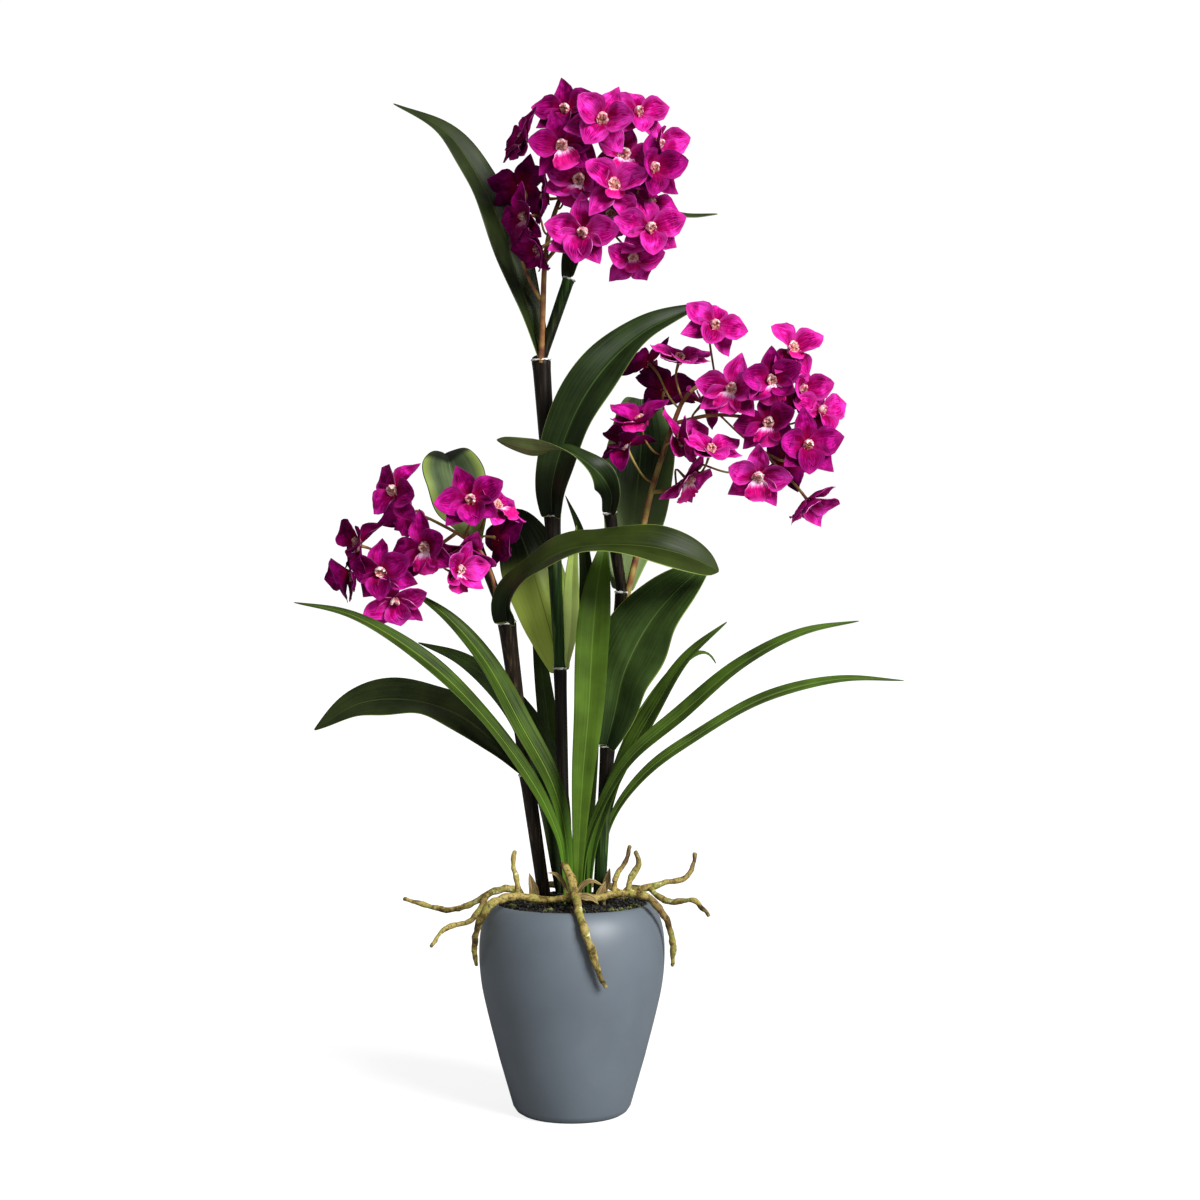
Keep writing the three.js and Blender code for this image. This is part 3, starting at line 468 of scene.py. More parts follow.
def blade(stations, columns, section, finishes, thickness, span):
    """A leaf, strap, bract or petal. A flat grid gets its section, then each row goes to its station.

    A station is (centre, rotation, half width, depth). `section` gives how high the blade stands at -1 to 1
    across, and `span` is the width and length that its own map covers. The finishes are those of its upper
    face, its back and, where there is a third, its edge.
    """
    rows = len(stations) - 1
    across = columns + 1
    bpy.ops.mesh.primitive_grid_add(x_subdivisions=columns, y_subdivisions=rows, size=2)
    piece = bpy.context.object
    dress(piece, *finishes)
    for corner in piece.data.uv_layers.active.data:
        corner.uv = ((corner.uv.x - 0.5) * span[0], corner.uv.y * span[1])
    work_on(piece)
    for column in range(across):
        pick(piece, lambda vertex: vertex.index % across == column)
        bpy.ops.transform.translate(value=(0, 0, section(column * 2 / columns - 1)))
    for row, (centre, rotation, half, depth) in enumerate(stations):
        pick(piece, lambda vertex: vertex.index // across == row)
        here = Vector((0, row * 2 / rows - 1, 0))
        bpy.ops.transform.resize(value=(half, 1, depth), center_override=here)
        turn(rotation, here)
        bpy.ops.transform.translate(value=centre - here)
    done(piece)
    finish_with(
        piece, "SOLIDIFY", thickness=thickness * MM, offset=0, material_offset=1,
        material_offset_rim=len(finishes) - 1,
    )
    return piece


def ring_limb(centres, radii, sides, flute=1.0):
    """A closed limb: a ring extruded from place to place, turned to its heading and sized. `flute` draws
    every other side in, which leaves ribs along it."""
    headings = [(b - a).normalized() for a, b in zip(centres, centres[1:])]
    headings.append(headings[-1])
    first = Vector((0, 0, 1)).rotation_difference(headings[0])
    bpy.ops.mesh.primitive_circle_add(
        vertices=sides, radius=radii[0], fill_type="NGON", location=centres[0], rotation=first.to_euler(),
    )
    piece = bpy.context.object
    put_in_mesh(piece)
    work_on(piece)
    if flute < 1:
        pick(piece, lambda vertex: vertex.index % 2 == 0)
        bpy.ops.transform.resize(value=(flute,) * 3, center_override=centres[0])
        bpy.ops.mesh.select_all(action="SELECT")
    for i in range(1, len(centres)):
        bpy.ops.mesh.extrude_region_move(TRANSFORM_OT_translate={"value": centres[i] - centres[i - 1]})
        turn(headings[i - 1].rotation_difference(headings[i]).to_matrix(), centres[i])
        bpy.ops.transform.resize(value=(radii[i] / radii[i - 1],) * 3, center_override=centres[i])
    return close_up(piece)


def turned_shell(profile, sides):
    """A turned shape: a disc extruded up its (radius, height) outline, the last disc closing it."""
    (radius, height), *rest = [(r * MM, z * MM) for r, z in profile]
    bpy.ops.mesh.primitive_circle_add(
        vertices=sides, radius=radius, fill_type="NGON", location=(0, 0, height),
    )
    piece = bpy.context.object
    put_in_mesh(piece)
    work_on(piece)
    bpy.ops.mesh.select_all(action="SELECT")
    for wider, higher in rest:
        bpy.ops.mesh.extrude_region_move(TRANSFORM_OT_translate={"value": (0, 0, higher - height)})
        size = (wider / radius, wider / radius, 1)
        bpy.ops.transform.resize(value=size, center_override=(0, 0, higher))
        radius, height = wider, higher
    return close_up(piece)


def stem_curve(stems):
    """Thin round stems as one mesh. Each stem is (points, the radius at each of them), in metres."""
    bpy.ops.curve.primitive_nurbs_path_add()
    curve = bpy.context.object
    curve.data.splines.clear()
    curve.data.bevel_depth = 1
    curve.data.bevel_resolution = 2
    curve.data.use_fill_caps = True
    for points, radii in stems:
        spline = curve.data.splines.new("POLY")
        spline.points.add(len(points) - 1)
        for point, place, radius in zip(spline.points, points, radii):
            point.co = (*place, 1)
            point.radius = radius
    select(curve)
    bpy.ops.object.convert(target="MESH")
    return bpy.context.object


# ---- Materials ----

def linear(hex_colour):
    """An sRGB hex value as linear red, green, blue and alpha."""
    values = [int(hex_colour[i:i + 2], 16) / 255 for i in (1, 3, 5)]
    return (*(v / 12.92 if v < 0.04045 else ((v + 0.055) / 1.055) ** 2.4 for v in values), 1)


def feed(tree, socket, value):
    """Gives a socket a number, a vector, a hex colour, or a link from a node or from (node, output)."""
    if isinstance(value, bpy.types.Node):
        value = (value, 0)
    if isinstance(value, tuple) and isinstance(value[0], bpy.types.Node):
        tree.links.new(value[0].outputs[value[1]], socket)
    else:
        socket.default_value = linear(value) if isinstance(value, str) else value


def wire(finish, **sockets):
    """Feeds sockets of a finish's own shader. A socket's name has _ for each space."""
    shader = finish.node_tree.nodes["Principled BSDF"]
    for name, value in sockets.items():
        feed(finish.node_tree, shader.inputs[name.replace("_", " ")], value)
    return finish


def new_finish(name, roughness, ior=1.46, **constants):
    """A material. What is the same all over it is set on the shader's own sockets."""
    finish = bpy.data.materials.new(name)
    finish.use_nodes = True
    return wire(finish, Roughness=roughness, IOR=ior, **constants)


def add_node(owner, kind, inputs=(), stops=(), **settings):
    """Adds a node: its settings, its inputs by name or in their order, and a ramp's stops as (place, hex).

    A Mix node's two colours are inputs 6 and 7, and what it mixes comes out at 2. A Map Range's inputs are
    its value, where that starts and ends, and what comes out at those two.
    """
    node = owner.node_tree.nodes.new("ShaderNode" + kind)
    for name, value in settings.items():
        setattr(node, name, value)
    for name, value in inputs.items() if isinstance(inputs, dict) else enumerate(inputs):
        feed(owner.node_tree, node.inputs[name], value)
    for _ in stops[2:]:
        node.color_ramp.elements.new(0.5)
    for number, (place, colour) in enumerate(stops):
        node.color_ramp.elements[number].position = place
        node.color_ramp.elements[number].color = linear(colour)
    return node


def tinted(finish, under, source, limits, colour, ease="LINEAR"):
    """Lays a colour over another, where `limits` are the source's start and end and how much shows there."""
    share = add_node(finish, "MapRange", [source, *limits], interpolation_type=ease)
    return add_node(finish, "Mix", {0: share, 6: under, 7: colour}, data_type="RGBA"), 2


def streaks(finish, source, fineness, detail):
    """Long streaks: a noise with so many cells to each unit of its map, along its three axes."""
    drawn = add_node(finish, "Mapping", {"Vector": source, "Scale": fineness})
    return add_node(finish, "TexNoise", {"Vector": drawn, "Scale": 1, "Detail": detail})


def clouded(name, roughness, fineness, detail, stops, pattern="TexNoise", **constants):
    """A finish whose tone goes by small clouds, `fineness` of them to a metre."""
    finish = new_finish(name, roughness, **constants)
    where = (add_node(finish, "TexCoord"), "Object")
    cloud = add_node(finish, pattern, {"Vector": where, "Scale": fineness, "Detail": detail})
    return wire(finish, Base_Color=add_node(finish, "ValToRGB", [cloud], stops))


def leaf_finish(
    name, deep, middle, rib, foot, reach_mm, roughness, vein_mm, veined=0.2, edge=None, hold=0.0, painted_shade_from_mm=None,
):
    """PEVA leaf, pressed between veined plates and spray-tinted: satin, with faint veins along it and a
    finer, paler midrib. The tint starts as `foot`, which holds for a share of `reach_mm` and is gone at its
    end. Broad leaves may have an `edge`, and one has painted shade, nearly black, from
    `painted_shade_from_mm` on."""
    finish = new_finish("pressed_peva_" + name, roughness, ior=1.48, Specular_IOR_Level=0.16)
    where = (add_node(finish, "TexCoord"), "Object")
    own = add_node(finish, "UVMap")
    parts = add_node(finish, "SeparateXYZ", [own])
    away = add_node(finish, "Math", [parts], operation="ABSOLUTE")
    # Cloudy shade of the pigment, in patches of about 30 mm
    cloud = add_node(finish, "TexNoise", {"Vector": where, "Scale": 34, "Detail": 3})
    colour = add_node(finish, "ValToRGB", [cloud], [(0.3, deep), (0.72, middle)])
    low = (hold * reach_mm * MM, reach_mm * MM, 0.95, 0)
    colour = tinted(finish, colour, (parts, 1), low, foot, "SMOOTHSTEP")
    # A tinted edge comes in from 18 to 29 mm off the midrib
    if edge:
        colour = tinted(finish, colour, away, (18 * MM, 29 * MM, 0, 0.8), edge)
    # Pressed veins: long streaks that run with the leaf
    streak = streaks(finish, own, (1 / (vein_mm * MM), 9, 1), 2)
    colour = tinted(finish, colour, streak, (0.42, 0.68, 0, veined), rib)
    # The midrib: a fine paler line down the middle
    colour = tinted(finish, colour, away, (0.2 * MM, 0.9 * MM, 0.55, 0), rib, "SMOOTHSTEP")
    # Painted shade: nearly black from this length along the blade on
    if painted_shade_from_mm:
        colour = tinted(finish, colour, (parts, 1), (painted_shade_from_mm * MM, (painted_shade_from_mm + 5) * MM, 0, 0.9), "#0b0d07")
    rough = add_node(finish, "MapRange", [streak, 0.3, 0.7, roughness - 0.07, roughness + 0.08])
    relief = add_node(finish, "Bump", {"Height": streak, "Strength": 0.3, "Distance": 0.4 * MM})
    return wire(finish, Base_Color=colour, Roughness=rough, Normal=relief)


# Satin glaze over fired clay: even blue-grey, a broad soft highlight, and a trace of mottling under the glaze
GLAZE = clouded(
    "satin_glazed_stoneware", 0.48, 22, 4, [(0.25, "#5f6871"), (0.75, "#67717a")],
    ior=1.5, Coat_Weight=0.12, Coat_Roughness=0.42,
)
# Orange peel of the sprayed glaze, about 2 mm from dimple to dimple
where = (add_node(GLAZE, "TexCoord"), "Object")
peel = add_node(GLAZE, "TexNoise", {"Vector": where, "Scale": 500, "Detail": 1})
wire(GLAZE, Normal=add_node(GLAZE, "Bump", {"Height": peel, "Strength": 0.08, "Distance": 0.2 * MM}))

# Polyurethane foam block, cast: open cells of about 1.5 mm, drawn coarse enough to show
FOAM = clouded(
    "cast_polyurethane_foam", 0.95, 600, 0, [(0.0, "#5f615b"), (0.6, "#8d8f8a")], pattern="TexVoronoi",
)
# Dyed black gravel, crushed: matt grains of about 4 mm with a few brown and mossy ones among them
GRAVEL = clouded("dyed_crushed_gravel", 0.75, 260, 2, [
    (0.36, "#0b0b0a"), (0.56, "#1c1a17"), (0.66, "#38301f"), (0.76, "#4c4a22"),
])
# Flocked moss: short dyed fibres, yellow-green, with darker gaps
MOSS = clouded(
    "flocked_moss", 0.95, 400, 2, [(0.35, "#26300c"), (0.7, "#7c8426")],
    Sheen_Weight=0.3, Sheen_Roughness=0.5,
)
# Moulding flash at the canes' joints: torn, nearly white
FLASH = clouded("torn_moulding_flash", 0.7, 300, 2, [(0.38, "#a8a49a"), (0.55, "#f2f0ea")])
# Wrapped wire stalks: floral tape over wire, red-brown here and tan to olive there
TAPE = clouded(
    "waxed_floral_tape", 0.65, 55, 3, [(0.36, "#6a3824"), (0.48, "#946638"), (0.62, "#a8964e")],
)


def cane_finish(name, browns, greens):
    """Moulded polyethylene cane, ribbed and tinted: dark brown streaks along it, and green at some heights.
    `browns` are the streaks' tones, and `greens` gives how much green, as grey, at heights in metres."""
    finish = new_finish(name, 0.46, ior=1.5, Specular_IOR_Level=0.2)
    where = (add_node(finish, "TexCoord"), "Object")
    streak = streaks(finish, where, (520, 520, 22), 3)
    brown, green = (
        add_node(finish, "ValToRGB", [streak], list(zip((0.3, 0.55, 0.75), tones)))
        for tones in (browns, ("#10200a", "#264a16", "#5a8036"))
    )
    height = add_node(finish, "SeparateXYZ", [where])
    share = add_node(finish, "ValToRGB", [(height, 2)], greens)
    mixed = add_node(finish, "Mix", {0: share, 6: brown, 7: green}, data_type="RGBA")
    ribs = add_node(finish, "Bump", {"Height": streak, "Strength": 0.5, "Distance": 0.5 * MM})
    return wire(finish, Base_Color=(mixed, 2), Normal=ribs)


DARK_CANE, BROWN_CANE = ("#080502", "#18110a", "#3c2f20"), ("#0c0804", "#261c12", "#584632")
CANE_FINISHES = {
    "cane_tall": cane_finish("ribbed_polyethylene_cane_tall", DARK_CANE, [
        (0.396, "#000000"), (0.4, "#ffffff"), (0.47, "#e0e0e0"), (0.52, "#000000"),
        (0.68, "#000000"), (0.72, "#909090"), (0.75, "#ffffff"),
    ]),
    "cane_right": cane_finish(
        "ribbed_polyethylene_cane_right", DARK_CANE, [(0.24, "#c0c0c0"), (0.3, "#000000")],
    ),
    "cane_left": cane_finish(
        "ribbed_polyethylene_cane_left", BROWN_CANE, [(0.1, "#000000"), (0.2, "#000000")],
    ),
}

# Cast latex roots, sponge-painted: tan and yellow-olive with green and brown patches, matt with a waxy trace
BARK = new_finish("sponge_painted_latex", 0.62, Specular_IOR_Level=0.35)
where = (add_node(BARK, "TexCoord"), "Object")
patches = add_node(BARK, "TexNoise", {"Vector": where, "Scale": 75, "Detail": 5, "Roughness": 0.7})
paint = add_node(BARK, "ValToRGB", [patches], [
    (0.32, "#2c1f0c"), (0.42, "#71622a"), (0.51, "#b09a58"), (0.59, "#83882e"), (0.7, "#ecdcaa"),
])
# Some stretches are painted red-brown, and dark specks lie over all
stretches = add_node(BARK, "TexNoise", {"Vector": where, "Scale": 24, "Detail": 2})
paint = tinted(BARK, paint, stretches, (0.53, 0.64, 0, 0.6), "#5e4126")
specks = add_node(BARK, "TexNoise", {"Vector": where, "Scale": 420, "Detail": 3})
paint = tinted(BARK, paint, specks, (0.54, 0.68, 0, 0.8), "#3c2a14")
pits = add_node(BARK, "Bump", {"Height": specks, "Strength": 0.6, "Distance": 0.6 * MM})
wire(BARK, Base_Color=paint, Normal=pits)

# Kraft paper bracts, crimped: dry tan with darker fibres along them
KRAFT = new_finish("crimped_kraft_paper", 0.9)
fibres = streaks(KRAFT, add_node(KRAFT, "UVMap"), (1400, 60, 1), 3)
tones = [(0.36, "#46371c"), (0.52, "#937c4c"), (0.66, "#c4ac78")]
wire(KRAFT, Base_Color=add_node(KRAFT, "ValToRGB", [fibres], tones))

DEEP_LEAF = leaf_finish("leaf_deep", "#1a220c", "#303a18", "#4e5e30", "#1c280e", 60, 0.42, 1.6, 0.1)
HIGH_LEAF = leaf_finish("leaf_high", "#131d08", "#273616", "#54703a", "#131c0a", 60, 0.42, 1.6, 0.1)
ARCH_LEAF = leaf_finish("leaf_arch", "#1e290b", "#323f11", "#4f5e26", "#0e170a", 75, 0.44, 1.6, 0.1)
BROAD_LEAF = leaf_finish("leaf_broad", "#263a12", "#46602a", "#84a058", "#22351a", 60, 0.42, 1.6, 0.12)
HIND_LEAF = leaf_finish(
    "leaf_hind", "#1e2c14", "#3a5230", "#6f8450", "#9db574", 130, 0.44, 1.6, 0.16, edge="#5e7a42",
)
PALE_LEAF = leaf_finish("leaf_pale", "#6a8430", "#a6be5a", "#c4d488", "#c6d97c", 120, 0.42, 1.6)
LEAF_BACK = leaf_finish(
    "leaf_back", "#303e24", "#4a5a36", "#8c9c5c", "#8b9c4c", 60, 0.5, 3.0, 0.3, edge="#8fa244",
)
# The folded leaf's far part, beyond its crest, is painted nearly black: painted shade
FOLDED_LEAF = leaf_finish(
    "leaf_folded", "#26321d", "#48583a", "#6f8050", "#8b9c4c", 50, 0.5, 5.0, 0.35, edge="#a2b84e", painted_shade_from_mm=81,
)
# Painted light: a lighter copy of the leaf back, for the arched leaf's underside where it lies in shade
LIT_ARCH_BACK = leaf_finish("lit_leaf_arch_back", "#53653a", "#7d9050", "#a9b878", "#3a4a24", 60, 0.5, 2.4, 0.3)
# Painted light: over a printed gradient from foot to tip, the sheath's upper part is painted near-black as
# shade and its foot a bright yellow-green as light falling on it
PAINTED_LIGHT_SHEATH = leaf_finish(
    "leaf_sheath_painted_light", "#090d05", "#141c0b", "#55663a", "#d4ee68", 118, 0.42, 2.4, 0.12, hold=0.45,
)
STRAP = leaf_finish("strap", "#3a5012", "#51701e", "#6f8c3a", "#35500f", 60, 0.4, 1.2, 0.12)
# Painted light: the left straps get a darker copy of the strap, painted shade with painted highlights on its
# ribs, and the right ones a lighter copy, painted light
SHADED_STRAP = leaf_finish("strap_left", "#1a280a", "#364e12", "#84a044", "#4c7c16", 150, 0.4, 1.2, 0.22)
LIT_STRAP = leaf_finish("strap_right", "#2a3e10", "#4e6e20", "#88a050", "#4c7a1a", 120, 0.4, 1.2)
STRAP_DEEP = leaf_finish("strap_deep", "#18240a", "#2e3f12", "#43562a", "#1c2a0c", 60, 0.42, 1.2)


def petal_finish(name, shadow, body, bloom, margin_tint):
    """Printed polyester petal, heat-formed: magenta watercolour mottling, fine veins from its foot, a soft
    nap. Its map is 1 wide and 1 long."""
    finish = new_finish(name, 0.6, ior=1.4, Specular_IOR_Level=0.02)
    where = (add_node(finish, "TexCoord"), "Object")
    own = add_node(finish, "UVMap")
    parts = add_node(finish, "SeparateXYZ", [own])
    # Watercolour patches of the print, 15 mm across, and its grain, drawn a little coarse so that it shows
    wash = add_node(finish, "TexNoise", {
        "Vector": where, "Scale": 66, "Detail": 5, "Roughness": 0.6, "Distortion": 0.5,
    })
    colour = add_node(finish, "ValToRGB", [wash], [(0.37, shadow), (0.5, body), (0.63, bloom)])
    # Veins: some 14 to a petal, running from its foot, dark ones with pale streaks between them
    lines = streaks(finish, own, (26, 2.2, 1), 1)
    colour = tinted(finish, colour, lines, (0.48, 0.64, 0, 0.6), shadow)
    colour = tinted(finish, colour, lines, (0.3, 0.46, 0.4, 0), bloom)
    # The foot is deep crimson, and the margin takes its own tint, which is paler on the lit copies: partly
    # print, partly painted shade in the floret's hollow middle and a painted highlight towards the margin
    colour = tinted(finish, colour, (parts, 1), (0.08, 0.52, 0.95, 0), "#82022e")
    away = add_node(finish, "Math", [parts], operation="ABSOLUTE")
    side = add_node(finish, "MapRange", [away, 0.3, 0.5, 0, 0.5])
    end = add_node(finish, "MapRange", [(parts, 1), 0.72, 1, 0, 0.5])
    margin = add_node(finish, "Math", [side, end], operation="MAXIMUM")
    edged = add_node(finish, "Mix", {0: margin, 6: colour, 7: margin_tint}, data_type="RGBA")
    relief = add_node(finish, "Bump", {"Height": lines, "Strength": 0.5, "Distance": 0.5 * MM})
    return wire(finish, Base_Color=(edged, 2), Normal=relief)


PETAL = petal_finish("printed_polyester_petal", "#780142", "#cc0682", "#ff42d2", "#f04ac8")
# Painted shade: a half-shaded copy of the petal print
HALF_SHADED_PETAL = petal_finish("half_shaded_printed_polyester_petal", "#5c0136", "#960260", "#dc1ea8", "#b42892")
PETAL_BACK = petal_finish("printed_polyester_petal_back", "#6a0242", "#960464", "#c0128e", "#b02492")
# Painted shade: shaded copies of the petal and its back, for florets that look away from the key light
SHADED_PETAL = petal_finish("shaded_printed_polyester_petal", "#4a0128", "#7c0250", "#b80a80", "#7c0a64")
SHADED_PETAL_BACK = petal_finish("shaded_printed_polyester_petal_back", "#3c0126", "#5c0240", "#860660", "#5c0450")
# The petals' heat-cut edge: a brighter line here and there, a painted highlight along their margins, and a
# darker copy of it, painted shade, for florets that look away from the key light
CUT_EDGE = clouded("heat_cut_petal_edge", 0.5, 90, 2, [(0.46, "#b01888"), (0.62, "#f88ad8")])
SHADED_EDGE = clouded("shaded_heat_cut_petal_edge", 0.5, 90, 2, [(0.46, "#4c0240"), (0.62, "#9a1474")])


def lip_finish(name, foot, near_foot, body, rim, streak):
    """Printed polyester lip: a small whitish starburst at its foot, then hot pink, with paler streaks and a
    brighter margin."""
    finish = new_finish(name, 0.5, ior=1.4, Specular_IOR_Level=0.08)
    own = add_node(finish, "UVMap")
    parts = add_node(finish, "SeparateXYZ", [own])
    lines = streaks(finish, own, (22, 2.5, 1), 2)
    ragged = add_node(finish, "Math", [lines, 0.5], operation="MULTIPLY")
    burst = add_node(finish, "Math", [(parts, 1), ragged], operation="SUBTRACT")
    stops = [(0.0, foot), (0.08, near_foot), (0.2, body), (0.5, body), (0.75, rim)]
    tint = add_node(finish, "ValToRGB", [burst], stops)
    colour = tinted(finish, tint, lines, (0.54, 0.72, 0, 0.22), streak)
    relief = add_node(finish, "Bump", {"Height": lines, "Strength": 0.5, "Distance": 0.5 * MM})
    return wire(finish, Base_Color=colour, Normal=relief)


LIP = lip_finish("printed_polyester_lip", "#fbdcf2", "#f47cc8", "#d00478", "#f23cb8", "#fa70d0")
# Painted shade: a shaded copy of the lip
SHADED_LIP = lip_finish("shaded_printed_polyester_lip", "#c88aa8", "#a82c70", "#7c0250", "#a80c78", "#b0267c")


def soft_pvc(name, roughness, fineness, stops):
    """Moulded soft PVC, as the hoods are: dye that has soaked in by small clouds, over the plastic's cream.
    Light goes a little way into it."""
    return clouded(name, roughness, fineness, 1, stops, Subsurface_Weight=0.1, Subsurface_Scale=2 * MM)


CREAM = soft_pvc("moulded_soft_pvc_cream", 0.4, 380, [(0.36, "#dc6c94"), (0.5, "#f4bcb8"), (0.62, "#fdece2")])
# Painted shade: a shaded copy of the cream hood
SHADED_CREAM = soft_pvc(
    "moulded_soft_pvc_shaded", 0.45, 380, [(0.36, "#8a2c5c"), (0.5, "#b0667e"), (0.62, "#dcb8b0")],
)
THROAT = soft_pvc(
    "tinted_soft_pvc_throat", 0.6, 420, [(0.36, "#a8485c"), (0.5, "#d0887a"), (0.64, "#ecc6a8")],
)

# Painted shade: darker copies of a floret's finishes, swapped onto florets that look away from the key light,
# and half-shaded copies for some others
HALF_SHADED_FINISHES = {PETAL.name: HALF_SHADED_PETAL, CUT_EDGE.name: SHADED_EDGE}
SHADED_FINISHES = {
    PETAL.name: SHADED_PETAL, PETAL_BACK.name: SHADED_PETAL_BACK, LIP.name: SHADED_LIP, CUT_EDGE.name: SHADED_EDGE,
    CREAM.name: SHADED_CREAM,
}


# ---- Camera, floor and light ----

CAMERA_X, CAMERA_HEIGHT, DISTANCE = 0.0252, 0.46, 1.9
VIEW_WIDTH = 1.08  # at the plant
SENSOR = 36
FLOOR_SIZE, FLOOR_GLOW = 40, 0.84
BACKDROP, FILL = 1.05, 0.26
TO_KEY = Vector((0.66, -0.75, 0.62))
KEY_STRENGTH, KEY_SPREAD = 4.5, 26

bpy.ops.object.camera_add(
    location=(CAMERA_X, -DISTANCE, CAMERA_HEIGHT), rotation=(math.radians(90), 0, 0),
)
camera = bpy.context.object
camera.data.sensor_width = SENSOR
camera.data.lens = SENSOR * DISTANCE / VIEW_WIDTH
camera.data.clip_end = 50
bpy.context.scene.camera = camera

# Acrylic floor, lit from below as well: it goes on into the backdrop's white, and lights the plant little
bpy.ops.mesh.primitive_plane_add(size=FLOOR_SIZE)
floor = bpy.context.object
floor.name = "studio_floor"
PAPER = new_finish("lit_acrylic_floor", 0.9, Base_Color="#9a9a9a", Emission_Color="#ffffff")
ray = (add_node(PAPER, "LightPath"), "Is Camera Ray")
wire(PAPER, Emission_Strength=add_node(PAPER, "MapRange", [ray, 0, 1, 0, FLOOR_GLOW]))
dress(floor, PAPER)

# The backdrop is lit to white, and gives the plant a quarter of that as fill
world = bpy.data.worlds.new("studio")
bpy.context.scene.world = world
world.use_nodes = True
ray = (add_node(world, "LightPath"), "Is Camera Ray")
backdrop = world.node_tree.nodes["Background"].inputs
feed(world.node_tree, backdrop["Color"], "#ffffff")
feed(world.node_tree, backdrop["Strength"], add_node(world, "MapRange", [ray, 0, 1, FILL, BACKDROP]))
bpy.context.scene.view_settings.view_transform = "Standard"

bpy.ops.object.light_add(
    type="SUN", location=TO_KEY * 3, rotation=TO_KEY.to_track_quat("Z", "Y").to_euler(),
)
key = bpy.context.object
key.name = "key_light"
key.data.energy = KEY_STRENGTH
key.data.angle = math.radians(KEY_SPREAD)


# ---- Pot, filler and soil ----

POT_SIDES, SOIL_SIDES = 96, 72
ROUNDING = 4  # steps from one point of the rim's outline to the next
CRUMB_RADIUS = 1.5
RIM_GAP = [(78.6, 149.5), (78.4, 158), (77.2, 166), (74.6, 174), (70, 181)]  # the soil's outline at the wall
# A patch has so many crumbs, strewn to so many millimetres from its middle, and a ring of patches its radius
# and how many there are
GRAVEL_PATCH, MOSS_PATCH = (34, 11), (26, 5)
GRAVEL_LIFT, MOSS_LIFT = 0.4, 1.5  # above the mound
GRAVEL_RINGS = [(0, 1), (15, 6), (30, 12), (45, 18), (58, 24)]
MOSS_AT = [(52, -34), (44, -42), (57, -20), (36, -48), (-20, -52), (-52, -24), (8, -56), (30, 40), (-30, 44),
           (50, 12)]


def rounded(outline):
    """A (radius, height) outline with its corners eased."""
    route = Route([(r, 0, z) for r, z in outline])
    count = (len(outline) - 1) * ROUNDING
    return [(point.x, point.z) for point in (route.by_point(i / count) for i in range(count + 1))]


rim = rounded(POT_OUTSIDE[4:] + POT_INSIDE[:4])
pot = turned_shell(POT_OUTSIDE[1:4] + rim + POT_INSIDE[4:], POT_SIDES)
dress(pot, GLAZE)
smooth(pot, 50)
hand_in(pot, "glazed_pot", "pot", "pot")

dress(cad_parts["filler"], FOAM)


def mound(radius):
    """The soil's height at a distance from the middle."""
    return between(SOIL_EDGE, SOIL_CROWN, math.cos(min(radius / SOIL_RADIUS, 1) * math.pi * 0.5) ** 1.2)


bed = turned_shell(RIM_GAP + [(r, mound(r)) for r in (*range(66, 5, -5), 2)], SOIL_SIDES)
dress(bed, GRAVEL, MOSS)
work_on(bed)
pick(bed, lambda vertex: vertex.co.z > 182 * MM)
roughen(1.4, 5)
done(bed)

draw = seeded(SOIL_SEED)
bpy.ops.mesh.primitive_ico_sphere_add(subdivisions=1, radius=CRUMB_RADIUS * MM)
crumb = bpy.context.object
work_on(crumb)
roughen(0.4, 3)
done(crumb)


def handful(count, spread, finish_number):
    """A patch of crumbs that lie close together, each turned and sized its own way."""
    crumbs = []
    for _ in range(count):
        angle, away = next(draw) * math.tau, spread * MM * math.sqrt(next(draw))
        size = between(0.6, 1.35, next(draw))
        height = between(-0.8, 1.8, next(draw)) * MM
        stand = Matrix.Translation((away * math.cos(angle), away * math.sin(angle), height))
        spin = Matrix.Rotation(next(draw) * 6, 4, "X") @ Matrix.Rotation(next(draw) * 6, 4, "Z")
        crumbs.append(copy_of(crumb, stand @ spin @ Matrix.Diagonal((size, size * 0.8, size * 0.7, 1))))
    patch = join(crumbs)
    dress(patch, GRAVEL, MOSS)
    for face in patch.data.polygons:
        face.material_index = finish_number
    return patch


def lay(patch, x, y, height):
    """A copy of a patch on the soil, turned its own way."""
    place = Vector((x, y, height)) * MM
    return copy_of(patch, Matrix.Translation(place) @ Matrix.Rotation(next(draw) * math.tau, 4, "Z"))


gravel_patches = [handful(*GRAVEL_PATCH, 0) for _ in range(2)]
moss_patch = handful(*MOSS_PATCH, 1)
laid = [bed]
for ring_radius, number in GRAVEL_RINGS:
    for i in range(number):
        angle = (i + next(draw) * 0.6) * math.tau / number
        x, y = ring_radius * math.cos(angle), ring_radius * math.sin(angle)
        laid.append(lay(gravel_patches[i % 2], x, y, mound(ring_radius) + GRAVEL_LIFT))
for x, y in MOSS_AT:
    laid.append(lay(moss_patch, x, y, mound(math.hypot(x, y)) + MOSS_LIFT))
hand_in(join(laid), "soil_bed", "soil", "soil")
for spare in (crumb, moss_patch, *gravel_patches):
    bpy.data.objects.remove(spare)


# ---- Canes ----

CANE_SIDES, CANE_FLUTE = 20, 0.93
NECK = 0.86  # an internode's narrowest, as a share of its slimmer joint
RING_THICKNESS = 1.5


